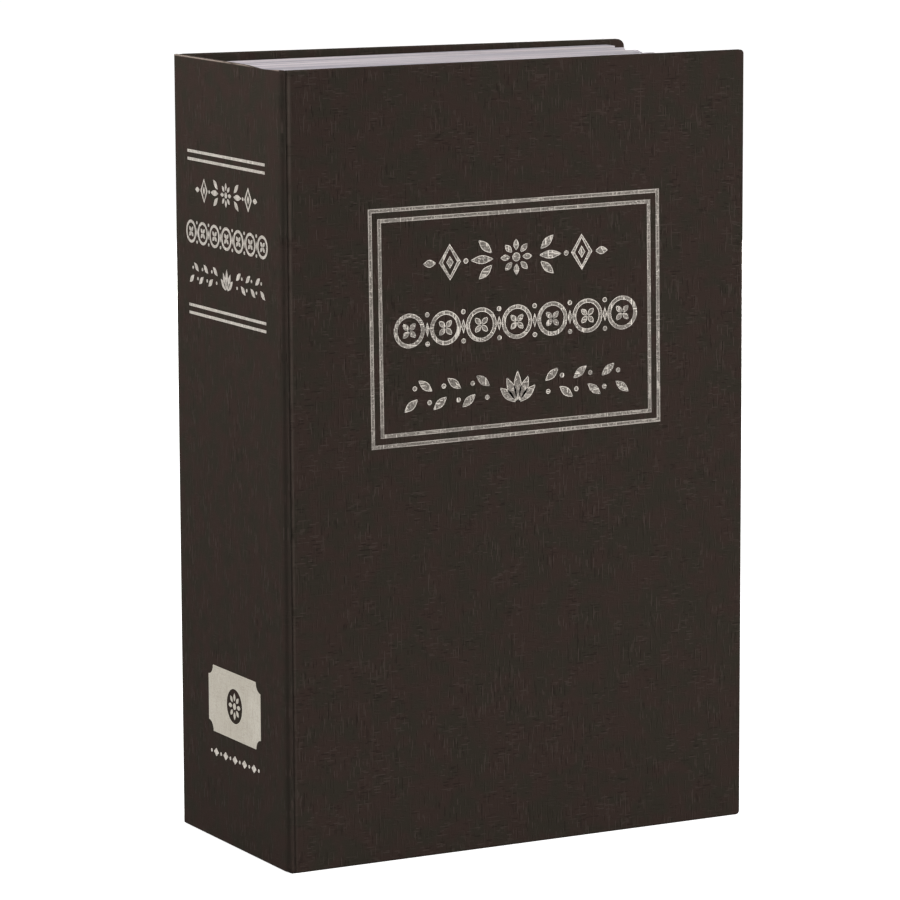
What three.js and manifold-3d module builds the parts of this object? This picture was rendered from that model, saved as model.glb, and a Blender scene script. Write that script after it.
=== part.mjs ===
// A book diversion safe: a hardback book case round an imitation page block, with a keyed steel box inside.
// Millimetres. X runs from the spine to the fore-edge, Y from the front cover to the back cover, Z up.
// The origin is the middle of the tail, on the surface that the closed book stands on.
import * as THREE from "three";
import { mergeVertices } from "three/addons/utils/BufferGeometryUtils.js";
import Module from "manifold-3d";

const wasm = await Module();
wasm.setup();

// Book case
const coverWidth = 158;
const coverDepth = 75;
const coverHeight = 240;
const boardThickness = 1.7;
const clothThickness = 0.4;
const coverCornerRadius = 1.5;
const clothEdgeRounding = 0.4;
const clothTurnIn = 14;
const endpaperThickness = 0.3;
const endpaperMargin = 3;
const spineBoardThickness = 0.7;
const spineCornerRadius = 1;
const hingeGrooveWidth = 1;
const hingeGrooveDepth = 0.4;
const hingeClothGap = 0.3;

// Imitation page block
const pageRecess = 1.8;
const pageForeEdgeInset = 7;
const pageScoop = 7.5;
const pageGroupCount = 6;
const pageGroupBulge = 1.3;
const pageGrooveWidth = 0.6;
const pageGrooveDepth = 0.4;
const pageWall = 2;
const pageBezelWidth = 7;
const pageCoverGap = 0.3;
const bezelBoxGap = 0.3;

// Steel box and lid
const boxSheet = 1;
const boxCornerRadius = 2;
const boxRimWidth = 8;
const mouthCornerRadius = 3;
const lidThickness = 1;
const lidMargin = 0.5;
const lidCornerRadius = 2;

// Lid hinge
const leafThickness = 0.6;
const leafSpineGap = 0.4;
const leafReach = 12;
const knuckleRadius = 1.5;
const knuckleBoreRadius = 0.95;
const knuckleCount = 7;
const knuckleEndGap = 0.3;
const knuckleCoverGap = 0.4;
const knuckleRimGap = 0.2;
const lidSwingGap = 0.3;
const hingeInset = 12;
const pinRadius = 0.8;
const pinHeadRadius = 1.3;
const pinHeadHeight = 0.8;

// Cam lock
const lockSetback = 20.2;
const lockHeadRadius = 9;
const lockHeadHeight = 1.8;
const barrelRadius = 7;
const barrelFlatHalfWidth = 6;
const barrelLength = 11;
const barrelFit = 0.15;
const plugRadius = 5;
const plugFit = 0.15;
const plugProud = 0.2;
const plugShoulder = 0.2;
const keywayWidth = 1.8;
const keywayHeight = 7;
const keywayLength = 8;
const washerRadius = 9;
const washerThickness = 0.8;
const nutAcrossFlats = 18;
const nutThickness = 3;
const waferCount = 4;
const waferThickness = 0.8;
const waferPitch = 1.7;
const waferWidth = 5;
const waferHeight = 8.4;
const waferFit = 0.1;
const waferSetback = 1.4;
const waferKeyHoleHeight = 5;
const stubWidth = 6;
const stubFit = 0.1;
const camThickness = 2;
const camWidth = 12;
const camReach = 15.5;
const camScrewRadius = 1.9;
const camScrewFit = 0.1;
const camScrewLength = 5;
const camScrewHeadAcrossFlats = 7;
const camScrewHeadHeight = 2.8;
const camWasherRadius = 5;
const camWasherThickness = 0.8;

// Keeper
const keeperSheet = 1;
const keeperCamGap = 0.4;
const keeperShelf = 8;
const keeperDepth = 15;
const keeperHeight = 26;
const rivetRadius = 1.4;
const rivetFit = 0.2;
const rivetHeadRadius = 2.6;
const rivetHeadHeight = 0.8;
const rivetEndDistance = 6;
const rivetSetback = 9;

// Facets
const cornerSteps = 2;
const roundSteps = 12;
const smallRoundSteps = 8;
const scoopSteps = 8;
const groupSteps = 4;
const bevelSteps = 2;
const overCut = 5;

// Planes of the case
const spineOuterX = -coverWidth / 2;
const foreEdgeX = coverWidth / 2;
const frontOuterY = -coverDepth / 2;
const backOuterY = coverDepth / 2;
const coverThickness = boardThickness + 2 * clothThickness;
const spineThickness = spineBoardThickness + 2 * clothThickness;
const spineInnerX = spineOuterX + spineThickness;
const coverStartX = spineInnerX + hingeGrooveWidth;
const frontInnerY = frontOuterY + coverThickness;
const backInnerY = backOuterY - coverThickness;
const frontPaperY = frontInnerY + endpaperThickness;
const backPaperY = backInnerY - endpaperThickness;

// Planes of the page block, and the circle that its fore-edge is scooped to
const pageFrontY = frontPaperY + pageCoverGap;
const pageBackY = backPaperY;
const pageTailZ = pageRecess;
const pageHeadZ = coverHeight - pageRecess;
const pageMiddleY = (pageFrontY + pageBackY) / 2;
const pageMiddleX = foreEdgeX - pageForeEdgeInset - pageScoop;
const pageChord = pageBackY - pageFrontY;
const scoopRadius = pageChord ** 2 / (8 * pageScoop) + pageScoop / 2;
const scoopCentreX = pageMiddleX + scoopRadius;
const pageGroupDepth = pageChord / pageGroupCount;

// Planes of the box, its lid and the hinge pin
const leafOuterX = spineInnerX + leafSpineGap;
const pinX = leafOuterX + knuckleRadius;
const pinY = frontPaperY + knuckleCoverGap + knuckleRadius;
const boxLeftX = leafOuterX + leafThickness;
const boxRightX = pageMiddleX - pageWall - bezelBoxGap;
const boxTailZ = pageTailZ + pageBezelWidth;
const boxHeadZ = pageHeadZ - pageBezelWidth;
const boxFrontY = pinY + knuckleRadius + knuckleRimGap;
const boxBackY = backPaperY;
const lidOuterY = boxFrontY - lidThickness;
const lidLeftX = pinX + knuckleRadius + lidSwingGap;
const lidRightX = boxRightX - lidMargin;
const hingeTailZ = boxTailZ + hingeInset;
const hingeHeadZ = boxHeadZ - hingeInset;

// The lock's axis, and its depths behind the lid's outer face
const lockX = boxRightX - lockSetback;
const lockZ = coverHeight / 2;
const plugFrontDepth = -lockHeadHeight - plugProud;
const plugBackDepth = barrelLength + plugShoulder;
const camBackDepth = plugBackDepth + camThickness;
const screwSeatDepth = camBackDepth + camWasherThickness;
const keeperFrontY = lidOuterY + plugBackDepth - keeperCamGap - keeperSheet;
const keeperWallX = boxRightX - boxSheet;

const materials = {
  cloth: finish(0x342e2a, 0.85, 0),
  board: finish(0x9a9184, 0.95, 0),
  paper: finish(0xe6e0d4, 0.9, 0),
  pages: finish(0xcfcbcd, 0.7, 0),
  paintedSteel: finish(0x17181a, 0.5, 0.3),
  zincSteel: finish(0xa9acae, 0.35, 1),
  chrome: finish(0xd0d2d4, 0.15, 1),
  brass: finish(0xb5923f, 0.35, 1),
};

// Helpers

function finish(color, roughness, metalness) {
  return new THREE.MeshStandardMaterial({ color, roughness, metalness });
}

// A geometry as a closed solid that can be cut and joined.
function solidOf(geometry) {
  const bare = geometry.clone();
  bare.deleteAttribute("normal");
  bare.deleteAttribute("uv");
  const merged = mergeVertices(bare);
  const vertProperties = merged.attributes.position.array;
  const triVerts = new Uint32Array(merged.index.array);
  return new wasm.Manifold(new wasm.Mesh({ numProp: 3, vertProperties, triVerts }));
}

function geometryOf(solid) {
  const made = solid.getMesh();
  const geometry = new THREE.BufferGeometry();
  geometry.setAttribute("position", new THREE.BufferAttribute(made.vertProperties, 3));
  geometry.setIndex(new THREE.BufferAttribute(made.triVerts, 1));
  geometry.computeVertexNormals();
  return geometry;
}

function piece(name, solid, material) {
  const mesh = new THREE.Mesh(geometryOf(solid), material);
  mesh.name = name;
  return mesh;
}

// A box between two opposite corners.
function block([x0, y0, z0], [x1, y1, z1]) {
  const geometry = new THREE.BoxGeometry(x1 - x0, y1 - y0, z1 - z0);
  geometry.translate((x0 + x1) / 2, (y0 + y1) / 2, (z0 + z1) / 2);
  return solidOf(geometry);
}

// An outline in X and Z, drawn out along Y from y0 to y1. A bevel rounds the edges of both faces.
function alongY(shape, y0, y1, curveSegments, bevel = 0) {
  const geometry = new THREE.ExtrudeGeometry(shape, {
    depth: y1 - y0 - 2 * bevel,
    curveSegments,
    bevelEnabled: bevel > 0,
    bevelThickness: bevel,
    bevelSize: bevel,
    bevelOffset: -bevel,
    bevelSegments: bevelSteps,
  });
  geometry.rotateX(Math.PI / 2);
  geometry.translate(0, y1 - bevel, 0);
  return solidOf(geometry);
}

// An outline in X and Y, drawn out along Z from z0 to z1.
function alongZ(shape, z0, z1, curveSegments, bevel = 0) {
  const geometry = new THREE.ExtrudeGeometry(shape, {
    depth: z1 - z0 - 2 * bevel,
    curveSegments,
    bevelEnabled: bevel > 0,
    bevelThickness: bevel,
    bevelSize: bevel,
    bevelOffset: -bevel,
    bevelSegments: bevelSteps,
  });
  geometry.translate(0, 0, z0 + bevel);
  return solidOf(geometry);
}

// A rod along X between x0 and x1.
function rodAlongX(radius, x0, x1, y, z) {
  const geometry = new THREE.CylinderGeometry(radius, radius, x1 - x0, 2 * smallRoundSteps);
  geometry.rotateZ(Math.PI / 2);
  geometry.translate((x0 + x1) / 2, y, z);
  return solidOf(geometry);
}

function circle(radius, x = 0, y = 0) {
  const shape = new THREE.Shape();
  shape.absarc(x, y, radius, 0, 2 * Math.PI, false);
  return shape;
}

function hexagon(acrossFlats) {
  const cornerRadius = acrossFlats / Math.sqrt(3);
  const corners = [];
  for (let i = 0; i < 6; i++) {
    const angle = (i * Math.PI) / 3;
    corners.push(new THREE.Vector2(cornerRadius * Math.cos(angle), cornerRadius * Math.sin(angle)));
  }
  return new THREE.Shape(corners);
}

// A circle cut off by two flats, at the left and at the right.
function flattedCircle(radius, flatHalfWidth) {
  const flatAngle = Math.acos(flatHalfWidth / radius);
  const shape = new THREE.Shape();
  shape.absarc(0, 0, radius, flatAngle, Math.PI - flatAngle, false);
  shape.absarc(0, 0, radius, Math.PI + flatAngle, 2 * Math.PI - flatAngle, false);
  shape.closePath();
  return shape;
}

function rectangle(x0, x1, y0, y1) {
  const corners = [
    new THREE.Vector2(x0, y0),
    new THREE.Vector2(x1, y0),
    new THREE.Vector2(x1, y1),
    new THREE.Vector2(x0, y1),
  ];
  return new THREE.Shape(corners);
}

function roundedRectangle(x0, x1, y0, y1, radius) {
  const quarter = Math.PI / 2;
  const shape = new THREE.Shape();
  shape.absarc(x1 - radius, y0 + radius, radius, -quarter, 0, false);
  shape.absarc(x1 - radius, y1 - radius, radius, 0, quarter, false);
  shape.absarc(x0 + radius, y1 - radius, radius, quarter, 2 * quarter, false);
  shape.absarc(x0 + radius, y0 + radius, radius, 2 * quarter, 3 * quarter, false);
  shape.closePath();
  return shape;
}

// A washer or ring, with its axis along Y.
function ringAlongY(outerRadius, innerRadius, y0, y1) {
  const shape = circle(outerRadius);
  shape.holes.push(circle(innerRadius));
  return alongY(shape, y0, y1, roundSteps);
}

// Covers: a board, the cloth folded round it, and the paper pasted inside.
// side is -1 for the front cover and 1 for the back cover, and depth is measured inwards from the outer face.

function coverPlane(side, depth) {
  return side * (coverDepth / 2 - depth);
}

function plateInCover(side, inset, radius, fromDepth, toDepth, bevel = 0) {
  const planes = [coverPlane(side, fromDepth), coverPlane(side, toDepth)];
  const outline = roundedRectangle(
    coverStartX + inset,
    foreEdgeX - inset,
    inset,
    coverHeight - inset,
    radius,
  );
  return alongY(outline, Math.min(...planes), Math.max(...planes), cornerSteps, bevel);
}

function blockInCover(side, inset, fromDepth, toDepth) {
  const planes = [coverPlane(side, fromDepth), coverPlane(side, toDepth)];
  return block(
    [coverStartX + inset, Math.min(...planes), inset],
    [foreEdgeX - inset, Math.max(...planes), coverHeight - inset],
  );
}

function coverBoardSolid(side) {
  const radius = coverCornerRadius - clothThickness;
  return plateInCover(side, clothThickness, radius, clothThickness, coverThickness - clothThickness);
}

function coverClothSolid(side) {
  const outer = plateInCover(side, 0, coverCornerRadius, 0, coverThickness, clothEdgeRounding);
  const window = blockInCover(side, clothTurnIn, coverThickness - clothThickness, coverThickness + overCut);
  return outer.subtract(coverBoardSolid(side)).subtract(window);
}

function endpaperSolid(side) {
  const sheet = blockInCover(side, endpaperMargin, coverThickness, coverThickness + endpaperThickness);
  const inWindow = blockInCover(side, clothTurnIn, coverThickness - clothThickness, coverThickness);
  return sheet.add(inWindow);
}

// Spine

function spineOutline(inset) {
  const radius = spineCornerRadius - inset;
  const x0 = spineOuterX + inset;
  const x1 = spineInnerX - inset;
  const y0 = frontOuterY + inset;
  const y1 = backOuterY - inset;
  const quarter = Math.PI / 2;
  const shape = new THREE.Shape();
  shape.moveTo(x1, y0);
  shape.lineTo(x1, y1);
  shape.absarc(x0 + radius, y1 - radius, radius, quarter, 2 * quarter, false);
  shape.absarc(x0 + radius, y0 + radius, radius, 2 * quarter, 3 * quarter, false);
  shape.closePath();
  return shape;
}

function spineBoardSolid() {
  return alongZ(spineOutline(clothThickness), clothThickness, coverHeight - clothThickness, cornerSteps);
}

function spineLiningSolid() {
  return block(
    [spineInnerX - clothThickness, frontOuterY + clothThickness, clothTurnIn],
    [spineInnerX, backOuterY - clothThickness, coverHeight - clothTurnIn],
  );
}

function spineClothSolid() {
  const outer = alongZ(spineOutline(0), 0, coverHeight, cornerSteps, clothEdgeRounding);
  const window = block(
    [spineInnerX - clothThickness, frontOuterY + clothThickness, clothTurnIn],
    [spineInnerX + overCut, backOuterY - clothThickness, coverHeight - clothTurnIn],
  );
  return outer.subtract(spineBoardSolid()).subtract(window);
}

// The cloth at the bottom of the joint groove. It stays off the moving cover by coverGap.
function hingeClothSolid(side, coverGap) {
  const planes = [coverPlane(side, hingeGrooveDepth), coverPlane(side, hingeGrooveDepth + clothThickness)];
  return block(
    [spineInnerX, Math.min(...planes), clothEdgeRounding],
    [coverStartX - coverGap, Math.max(...planes), coverHeight - clothEdgeRounding],
  );
}

// Page block: one moulding with head, tail and fore-edge walls, and a bezel round the steel box.
// Its outside looks like groups of leaves: each group swells at the fore-edge, with a groove to the next.

function foreEdgeAt(y) {
  return scoopCentreX - Math.sqrt(scoopRadius ** 2 - (y - pageMiddleY) ** 2);
}

function groupStartY(index) {
  return pageFrontY + index * pageGroupDepth;
}

function pageOutline() {
  const shape = new THREE.Shape();
  shape.moveTo(spineInnerX, pageFrontY);
  shape.lineTo(foreEdgeAt(pageFrontY), pageFrontY);
  for (let i = 0; i < pageGroupCount; i++) {
    const middleY = groupStartY(i + 0.5);
    const endY = groupStartY(i + 1);
    shape.quadraticCurveTo(foreEdgeAt(middleY) + 2 * pageGroupBulge, middleY, foreEdgeAt(endY), endY);
  }
  shape.lineTo(spineInnerX, pageBackY);
  shape.closePath();
  return shape;
}

function pageHollowOutline() {
  const radius = scoopRadius + pageWall;
  const frontY = pageFrontY + pageWall;
  const backY = pageBackY + overCut;
  const frontAngle = Math.PI + Math.asin((pageMiddleY - frontY) / radius);
  const backAngle = Math.PI - Math.asin((backY - pageMiddleY) / radius);
  const shape = new THREE.Shape();
  shape.absarc(scoopCentreX, pageMiddleY, radius, frontAngle, backAngle, true);
  shape.lineTo(spineInnerX - overCut, backY);
  shape.lineTo(spineInnerX - overCut, frontY);
  shape.closePath();
  return shape;
}

// A groove across the head or the tail, from the spine to the fore-edge.
function pageGroove(index, z) {
  const middleY = groupStartY(index);
  return block(
    [spineInnerX - overCut, middleY - pageGrooveWidth / 2, z - pageGrooveDepth],
    [foreEdgeX, middleY + pageGrooveWidth / 2, z + pageGrooveDepth],
  );
}

function pageFrameSolid() {
  let outer = alongZ(pageOutline(), pageTailZ, pageHeadZ, groupSteps);
  for (let i = 1; i < pageGroupCount; i++) {
    outer = outer.subtract(pageGroove(i, pageTailZ)).subtract(pageGroove(i, pageHeadZ));
  }
  const hollow = alongZ(pageHollowOutline(), pageTailZ + pageWall, pageHeadZ - pageWall, scoopSteps);
  const boxWindow = block(
    [spineInnerX - overCut, pageFrontY - overCut, boxTailZ - bezelBoxGap],
    [boxRightX + bezelBoxGap, pageFrontY + pageWall + overCut, boxHeadZ + bezelBoxGap],
  );
  return outer.subtract(hollow).subtract(boxWindow);
}

// Steel box

function boxBodySolid() {
  const outerShape = roundedRectangle(boxLeftX, boxRightX, boxTailZ, boxHeadZ, boxCornerRadius);
  const innerShape = roundedRectangle(
    boxLeftX + boxSheet,
    boxRightX - boxSheet,
    boxTailZ + boxSheet,
    boxHeadZ - boxSheet,
    boxCornerRadius - boxSheet,
  );
  const mouthShape = roundedRectangle(
    boxLeftX + boxRimWidth,
    boxRightX - boxRimWidth,
    boxTailZ + boxRimWidth,
    boxHeadZ - boxRimWidth,
    mouthCornerRadius,
  );
  const outer = alongY(outerShape, boxFrontY, boxBackY, cornerSteps);
  const hollow = alongY(innerShape, boxFrontY + boxSheet, boxBackY - boxSheet, cornerSteps);
  const mouth = alongY(mouthShape, boxFrontY - overCut, boxFrontY + boxSheet + overCut, cornerSteps);
  let body = outer.subtract(hollow).subtract(mouth);
  for (const z of rivetHeights()) {
    const hole = rodAlongX(rivetRadius + rivetFit, keeperWallX - overCut, boxRightX + overCut, rivetY(), z);
    body = body.subtract(hole);
  }
  return body;
}

function lidSolid() {
  const shape = roundedRectangle(
    lidLeftX,
    lidRightX,
    boxTailZ + lidMargin,
    boxHeadZ - lidMargin,
    lidCornerRadius,
  );
  const plate = alongY(shape, lidOuterY, boxFrontY, cornerSteps);
  const holeShape = flattedCircle(barrelRadius + barrelFit, barrelFlatHalfWidth + barrelFit);
  const hole = alongY(holeShape, lidOuterY - overCut, boxFrontY + overCut, roundSteps);
  return plate.subtract(hole.translate([lockX, 0, lockZ]));
}

// Lid hinge: knuckles with even numbers are on the box's leaf, those with odd numbers on the lid's.

function knuckleSpan(index) {
  const pitch = (hingeHeadZ - hingeTailZ) / knuckleCount;
  const start = hingeTailZ + index * pitch;
  return [start + knuckleEndGap / 2, start + pitch - knuckleEndGap / 2];
}

function knuckleRing(z0, z1) {
  return alongZ(circle(knuckleRadius, pinX, pinY), z0, z1, smallRoundSteps);
}

function knuckleBore() {
  const bore = circle(knuckleBoreRadius, pinX, pinY);
  return alongZ(bore, hingeTailZ - overCut, hingeHeadZ + overCut, smallRoundSteps);
}

function boxLeafSolid() {
  let leaf = block([leafOuterX, boxFrontY, hingeTailZ], [boxLeftX, boxFrontY + leafReach, hingeHeadZ]);
  for (let i = 0; i < knuckleCount; i += 2) {
    const [z0, z1] = knuckleSpan(i);
    const tab = block([leafOuterX, pinY, z0], [boxLeftX, boxFrontY, z1]);
    leaf = leaf.add(tab).add(knuckleRing(z0, z1));
  }
  return leaf.subtract(knuckleBore());
}

function lidLeafSolid() {
  const leafY = lidOuterY - leafThickness;
  const tabX = pinX + (knuckleBoreRadius + knuckleRadius) / 2;
  let leaf = block([lidLeftX, leafY, hingeTailZ], [lidLeftX + leafReach, lidOuterY, hingeHeadZ]);
  for (let i = 1; i < knuckleCount; i += 2) {
    const [z0, z1] = knuckleSpan(i);
    const tab = block([tabX, leafY, z0], [lidLeftX, lidOuterY, z1]);
    leaf = leaf.add(tab).add(knuckleRing(z0, z1));
  }
  return leaf.subtract(knuckleBore());
}

function pinSolid() {
  const tailZ = hingeTailZ - pinHeadHeight;
  const headZ = hingeHeadZ + pinHeadHeight;
  const profile = [
    new THREE.Vector2(0, tailZ),
    new THREE.Vector2(pinHeadRadius, tailZ + pinHeadHeight / 2),
    new THREE.Vector2(pinHeadRadius, hingeTailZ),
    new THREE.Vector2(pinRadius, hingeTailZ),
    new THREE.Vector2(pinRadius, hingeHeadZ),
    new THREE.Vector2(pinHeadRadius, hingeHeadZ),
    new THREE.Vector2(pinHeadRadius, headZ - pinHeadHeight / 2),
    new THREE.Vector2(0, headZ),
  ];
  const geometry = new THREE.LatheGeometry(profile, 2 * smallRoundSteps);
  geometry.rotateX(Math.PI / 2);
  return solidOf(geometry);
}

// Cam lock, in its own frame: the axis is Y, and y = 0 is the lid's outer face.

function barrelSolid() {
  const head = alongY(circle(lockHeadRadius), -lockHeadHeight, 0, roundSteps);
  const bodyShape = flattedCircle(barrelRadius, barrelFlatHalfWidth);
  const body = alongY(bodyShape, -lockHeadHeight / 2, barrelLength, roundSteps);
  const bore = alongY(circle(plugRadius + plugFit), -lockHeadHeight - overCut, barrelLength + overCut, roundSteps);
  return head.add(body).subtract(bore);
}

function waferDepth(index) {
  return plugFrontDepth + waferSetback + index * waferPitch;
}

function plugSolid() {
  const body = alongY(circle(plugRadius), plugFrontDepth, plugBackDepth, roundSteps);
  const half = stubWidth / 2;
  const stub = alongY(rectangle(-half, half, -half, half), plugBackDepth, camBackDepth, 1);
  const keyway = block(
    [-keywayWidth / 2, plugFrontDepth - overCut, -keywayHeight / 2],
    [keywayWidth / 2, plugFrontDepth + keywayLength, keywayHeight / 2],
  );
  const tapped = alongY(
    circle(camScrewRadius + camScrewFit),
    camBackDepth - camScrewLength - camScrewFit,
    camBackDepth + overCut,
    smallRoundSteps,
  );
  let plug = body.add(stub).subtract(keyway).subtract(tapped);
  for (let i = 0; i < waferCount; i++) {
    const slot = block(
      [-waferWidth / 2 - waferFit, waferDepth(i) - waferFit, -plugRadius - overCut],
      [waferWidth / 2 + waferFit, waferDepth(i) + waferThickness + waferFit, plugRadius + overCut],
    );
    plug = plug.subtract(slot);
  }
  return plug;
}

function waferSolid(index) {
  const shape = rectangle(-waferWidth / 2, waferWidth / 2, -waferHeight / 2, waferHeight / 2);
  const halfHole = waferKeyHoleHeight / 2;
  shape.holes.push(rectangle(-keywayWidth / 2, keywayWidth / 2, -halfHole, halfHole));
  return alongY(shape, waferDepth(index), waferDepth(index) + waferThickness, 1);
}

function nutSolid() {
  const shape = hexagon(nutAcrossFlats);
  shape.holes.push(circle(barrelRadius + barrelFit));
  const start = lidThickness + washerThickness;
  return alongY(shape, start, start + nutThickness, roundSteps);
}

function camSolid() {
  const halfWidth = camWidth / 2;
  const straightEnd = -(camReach - halfWidth);
  const shape = new THREE.Shape();
  shape.absarc(0, 0, halfWidth, 0, Math.PI, false);
  shape.absarc(0, straightEnd, halfWidth, Math.PI, 2 * Math.PI, false);
  shape.closePath();
  const half = stubWidth / 2 + stubFit;
  shape.holes.push(rectangle(-half, half, -half, half));
  return alongY(shape, plugBackDepth, camBackDepth, smallRoundSteps);
}

function camScrewSolid() {
  const shank = alongY(circle(camScrewRadius), camBackDepth - camScrewLength, screwSeatDepth, smallRoundSteps);
  const headEnd = screwSeatDepth + camScrewHeadHeight;
  const head = alongY(hexagon(camScrewHeadAcrossFlats), screwSeatDepth, headEnd, 1);
  return shank.add(head);
}

// Keeper, on the box's fore-edge wall

function rivetY() {
  return keeperFrontY + rivetSetback;
}

function rivetHeights() {
  const reach = keeperHeight / 2 - rivetEndDistance;
  return [lockZ - reach, lockZ + reach];
}

function keeperSolid() {
  const z0 = lockZ - keeperHeight / 2;
  const z1 = lockZ + keeperHeight / 2;
  const shelf = block([keeperWallX - keeperShelf, keeperFrontY, z0], [keeperWallX, keeperFrontY + keeperSheet, z1]);
  const foot = block([keeperWallX - keeperSheet, keeperFrontY, z0], [keeperWallX, keeperFrontY + keeperDepth, z1]);
  let keeper = shelf.add(foot);
  for (const z of rivetHeights()) {
    const hole = rodAlongX(rivetRadius + rivetFit, keeperWallX - overCut, keeperWallX + overCut, rivetY(), z);
    keeper = keeper.subtract(hole);
  }
  return keeper;
}

function rivetSolid(z) {
  const insideX = keeperWallX - keeperSheet;
  const shank = rodAlongX(rivetRadius, insideX - rivetHeadHeight, boxRightX + rivetHeadHeight, rivetY(), z);
  const insideHead = rodAlongX(rivetHeadRadius, insideX - rivetHeadHeight, insideX, rivetY(), z);
  const outsideHead = rodAlongX(rivetHeadRadius, boxRightX, boxRightX + rivetHeadHeight, rivetY(), z);
  return shank.add(insideHead).add(outsideHead);
}

// The scene: the fixed case, the front cover, and the lid with the lock on it

function makeCase() {
  const group = new THREE.Group();
  const [lowerRivetZ, upperRivetZ] = rivetHeights();
  group.add(
    piece("spine_board", spineBoardSolid(), materials.board),
    piece("spine_cloth", spineClothSolid(), materials.cloth),
    piece("spine_lining", spineLiningSolid(), materials.paper),
    piece("back_board", coverBoardSolid(1), materials.board),
    piece("back_cover_cloth", coverClothSolid(1), materials.cloth),
    piece("back_endpaper", endpaperSolid(1), materials.paper),
    piece("back_hinge_cloth", hingeClothSolid(1, 0), materials.cloth),
    piece("front_hinge_cloth", hingeClothSolid(-1, hingeClothGap), materials.cloth),
    piece("page_frame", pageFrameSolid(), materials.pages),
    piece("box_body", boxBodySolid(), materials.paintedSteel),
    piece("box_hinge_leaf", boxLeafSolid(), materials.paintedSteel),
    piece("keeper_bracket", keeperSolid(), materials.zincSteel),
    piece("keeper_rivet_lower", rivetSolid(lowerRivetZ), materials.zincSteel),
    piece("keeper_rivet_upper", rivetSolid(upperRivetZ), materials.zincSteel),
  );
  const pin = piece("hinge_pin", pinSolid(), materials.zincSteel);
  pin.position.set(pinX, pinY, 0);
  group.add(pin);
  return group;
}

function makeFrontCover() {
  const group = new THREE.Group();
  group.add(
    piece("front_board", coverBoardSolid(-1), materials.board),
    piece("front_cover_cloth", coverClothSolid(-1), materials.cloth),
    piece("front_endpaper", endpaperSolid(-1), materials.paper),
  );
  return group;
}

function makeTurningPlug() {
  const group = new THREE.Group();
  const camWasher = ringAlongY(camWasherRadius, camScrewRadius + camScrewFit, camBackDepth, screwSeatDepth);
  group.add(
    piece("lock_plug", plugSolid(), materials.chrome),
    piece("lock_cam", camSolid(), materials.zincSteel),
    piece("cam_washer", camWasher, materials.zincSteel),
    piece("cam_screw", camScrewSolid(), materials.zincSteel),
  );
  for (let i = 0; i < waferCount; i++) {
    group.add(piece(`lock_wafer_${i + 1}`, waferSolid(i), materials.brass));
  }
  return group;
}

function makeLock() {
  const group = new THREE.Group();
  const washerBack = lidThickness + washerThickness;
  const washer = ringAlongY(washerRadius, barrelRadius + barrelFit, lidThickness, washerBack);
  group.add(
    piece("lock_barrel", barrelSolid(), materials.chrome),
    piece("lock_washer", washer, materials.zincSteel),
    piece("lock_nut", nutSolid(), materials.zincSteel),
    makeTurningPlug(),
  );
  group.position.set(lockX, lidOuterY, lockZ);
  return group;
}

function makeLid() {
  const group = new THREE.Group();
  group.add(
    piece("box_lid", lidSolid(), materials.paintedSteel),
    piece("lid_hinge_leaf", lidLeafSolid(), materials.paintedSteel),
    makeLock(),
  );
  return group;
}

const bookSafe = new THREE.Group();
bookSafe.add(makeCase(), makeFrontCover(), makeLid());

export default bookSafe;
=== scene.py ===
"""A book diversion safe, dressed as photographed.

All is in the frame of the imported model: X runs from the spine to the fore-edge, Y from the front
cover to the back cover and Z up. Meshes are shaped in millimetres, and Piece turns them into metres.
"""

import logging
import math
import random
from collections.abc import Callable, Iterable, Sequence
from dataclasses import dataclass, field, replace
from enum import Enum
from typing import NamedTuple

import bmesh
import bpy
from bmesh.types import BMEdge, BMesh, BMFace, BMVert
from bpy.types import ID, Material, Node, NodeSocket, NodeTree, Object
from mathutils import Matrix, Vector


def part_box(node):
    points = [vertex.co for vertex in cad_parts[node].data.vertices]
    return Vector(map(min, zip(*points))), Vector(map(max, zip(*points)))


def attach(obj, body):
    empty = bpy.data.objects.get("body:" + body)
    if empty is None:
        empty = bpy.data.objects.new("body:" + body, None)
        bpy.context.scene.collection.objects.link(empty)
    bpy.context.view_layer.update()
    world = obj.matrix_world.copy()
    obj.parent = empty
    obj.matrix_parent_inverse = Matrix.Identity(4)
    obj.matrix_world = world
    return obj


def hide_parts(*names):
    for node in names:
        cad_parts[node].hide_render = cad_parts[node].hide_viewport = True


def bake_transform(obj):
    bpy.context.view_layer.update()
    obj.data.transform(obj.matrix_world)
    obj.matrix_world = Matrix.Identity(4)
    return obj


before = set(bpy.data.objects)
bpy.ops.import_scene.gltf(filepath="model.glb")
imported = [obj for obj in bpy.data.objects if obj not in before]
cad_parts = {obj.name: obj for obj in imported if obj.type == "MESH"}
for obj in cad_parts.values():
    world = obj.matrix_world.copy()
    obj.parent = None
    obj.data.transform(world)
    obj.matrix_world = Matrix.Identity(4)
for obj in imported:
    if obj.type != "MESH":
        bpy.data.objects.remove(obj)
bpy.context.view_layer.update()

Colour = tuple[float, float, float, float]
Pair = tuple[float, float]
Triple = tuple[float, float, float]
Sockets = dict[str, NodeSocket]
Value = NodeSocket | float | tuple[float, ...]

log = logging.getLogger("book_safe")
WHITE: Colour = (1.0, 1.0, 1.0, 1.0)
ORIGIN: Triple = (0.0, 0.0, 0.0)
UP = (0, 0, 1)
X, Y, Z = 0, 1, 2
RIM_LAYER = "rim"
MM = 0.001
TO_MM: Triple = (1 / MM, 1 / MM, 1 / MM)
SHARP_DEGREES = 40.0

# The sizes below are in millimetres, like all the others but those of the studio

SAME_PLACE = 1e-4
NEAR = 0.01
TURN_IN = 14.0
CLOTH_WALL = 0.35
TAIL_LIFT = 0.6
FRONT_LEAN = 0.7
FOIL_THICKNESS = 0.1
FOIL_SUNK = 0.05


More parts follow.
